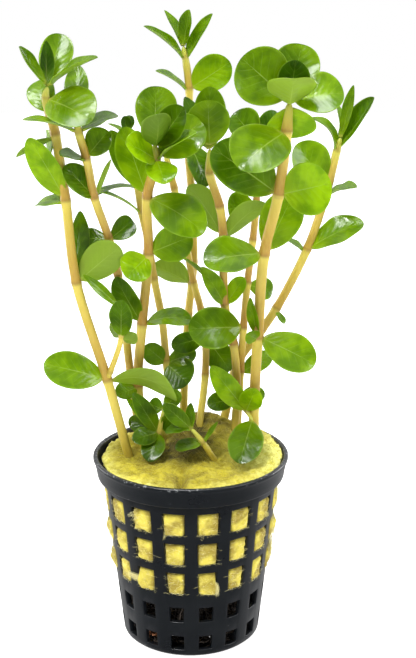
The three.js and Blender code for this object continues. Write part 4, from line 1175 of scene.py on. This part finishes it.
# One stem or shoot: its stalk with the leaves fused to it, and each named leaf by itself
def grow(plan, pieceKind, nodeKind, seed):
    name, line, radius = plan["name"], np.array(plan["line"], float), plan["thick"] / 2
    rise = unit(line[1] - line[0])
    if plan.get("onStem"):
        points, firstJoint = np.vstack([line[0] + rise * foliage["shootStart"], line[1:]]), 1
    else:
        points, firstJoint = np.vstack([line[0] - rise * foliage["rootDepth"], line]), 2
    stalk, shades = stalkSkin(points, radius, firstJoint, plan.get("blush", foliage["shootBlush"]))
    count = len(stalk[0])
    skins, tones, unders, maps = [stalk], [np.zeros(count)], [np.zeros(count)], [np.zeros((count, 2))]
    for number, (at, reach, facing, width, cup, arch, tone, *label) in enumerate(plan["leaves"]):
        joint = line[at]
        tip = joint + np.array(reach, float)
        base = joint + unit(tip - joint) * radius * (0.9 if label else 0.5)
        if not label:
            base = base - unit(line[min(len(line) - 1, at + 1)] - line[max(0, at - 1)]) * radius * 0.5
        skin, under, mapped = bladeSkin(base, tip, facing, width, cup, arch, seed * 100 + number)
        tone = np.full(len(under), tone)
        if label:
            piece = makePiece(f"blade_{name}_{label[0]}", *skin, [leafSkin], "leaf",
                              f"leaf_{name}_{label[0]}")
            giveAttributes(piece, tone=tone, under=under)
            giveMap(piece, mapped)
        else:
            skins.append(skin)
            tones.append(tone)
            unders.append(under)
            maps.append(mapped)
    points, quads, triangles = gather(skins)
    piece = makePiece(f"{pieceKind}_{name}", points, quads, triangles, [stemSkin, leafSkin], "stem",
                      f"{nodeKind}_{name}")
    onLeaf = [face.vertices[0] >= count for face in piece.data.polygons]
    piece.data.polygons.foreach_set("material_index", np.array(onLeaf, int))
    rest = np.zeros(len(points) - count)
    giveAttributes(piece, **{label: np.concatenate([values, rest]) for label, values in shades.items()},
                   tone=np.concatenate(tones), under=np.concatenate(unders))
    giveMap(piece, np.vstack(maps))


feet = np.array([plan["line"][0][:2] for plan in stems + shoots if not plan.get("onStem")], float)
makeWoolPlug(feet)
makeFibres(feet)
makeRoots()
print("rock wool made")
# the last value is the seed of a stem's leaves, from 1 on, and of a shoot's, from 21 on
for number, plan in enumerate(stems):
    grow(plan, "stalk", "stem", number + 1)
for number, plan in enumerate(shoots):
    grow(plan, "sprig", "shoot", number + 21)
print("plant made")


camera = {
    "place": (0.0, -300.0, 167.7),
    "pitch": 15.5,  # degrees below level
    "yaw": 0.88,  # degrees towards +X
    "focalLength": 1199.1,  # in pixels of the frame
    "frameHeight": 658,
    "sensor": 36,
    "range": (10, 10000),  # the nearest and the farthest that is seen
}

studio = {
    "backdrop": "#ffffff",
    "frontLight": 0.13,  # light from the front and from below
    "topLight": (0.42, 0.0, 0.9),  # added towards the top: how much, from which height, to which
    "backLight": (0.5, -0.4, 0.7),  # added towards the back
    "floor": "#fbfbfa",
    "floorGlow": 0.8,  # a light table under the paper
    "floorReach": 1500,
    "lampAim": (0, 0, 90),
    # each lamp: place, size across and power
    "lamps": {
        "key": ((-260, -330, 560), 200, 2.5),
        "fill": ((420, -200, 330), 200, 0.8),
        "overhead": ((-30, -60, 620), 200, 1.5),
        "spark": ((-120, -230, 600), 40, 0.5),
        "rightEdge": ((360, 190, 110), 170, 0.65),
        "leftEdge": ((-360, 190, 110), 170, 0.5),
    },
}


# Matt white paper, the studio's floor
def makePaper():
    material, add, place = newMaterial("white_paper")
    clouds = add("noise", place, patternScale(60), 3, 0.55)
    add("surface", add("skin", inputs={
        "Base Color": add("blend", clouds, studio["floor"], "#ffffff"), "Roughness": 0.9,
        "Emission Color": studio["floor"], "Emission Strength": studio["floorGlow"]}))
    return material


# Puts a lamp or a camera in its place, given in mm
def stand(name, data, place):
    holder = bpy.data.objects.new(name, data)
    holder.location = [value * metresPerMm for value in place]
    bpy.context.scene.collection.objects.link(holder)
    return holder


def makeStudio():
    paper = makePaper()
    reach = studio["floorReach"]
    corners = [(-reach, -reach, 0), (reach, -reach, 0), (reach, reach, 0), (-reach, reach, 0)]
    floor = makePiece("floor", corners, [(0, 1, 2, 3)], [], [paper])
    floor.visible_glossy = False  # the pot's front then mirrors the dark side of the studio
    # A white backdrop for the eye, and a softbox round the object that is brightest above and behind
    world = bpy.data.worlds.new("studio")
    bpy.context.scene.world = world
    world.use_nodes = True
    world.node_tree.nodes.clear()
    add = partial(addNode, world.node_tree)
    direction = add("direction")
    strength = studio["frontLight"]
    for axis, (share, low, high) in (("z", studio["topLight"]), ("y", studio["backLight"])):
        added = add("multiply", add("step", add(axis, direction), low, high), share)
        strength = add("add", strength, added)
    softbox, backdrop = (add("background", studio["backdrop"], power) for power in (strength, 1.0))
    add("surroundings", add("bothShaders", add("seen"), softbox, backdrop))
    for name, (place, size, power) in studio["lamps"].items():
        lamp = bpy.data.lights.new(name, "AREA")
        lamp.shape, lamp.size, lamp.energy = "DISK", size * metresPerMm, power
        aim = Vector(studio["lampAim"]) - Vector(place)
        stand(name, lamp, place).rotation_euler = aim.to_track_quat("-Z", "Y").to_euler()
    lens = bpy.data.cameras.new("camera")
    lens.sensor_width = camera["sensor"]
    lens.lens = camera["focalLength"] / camera["frameHeight"] * camera["sensor"]
    lens.clip_start, lens.clip_end = (reach * metresPerMm for reach in camera["range"])
    viewer = stand("camera", lens, camera["place"])
    viewer.rotation_euler = (math.radians(90 - camera["pitch"]), 0, -math.radians(camera["yaw"]))
    bpy.context.scene.camera = viewer
    bpy.context.scene.view_settings.view_transform = "Standard"


makeStudio()
print("studio made")
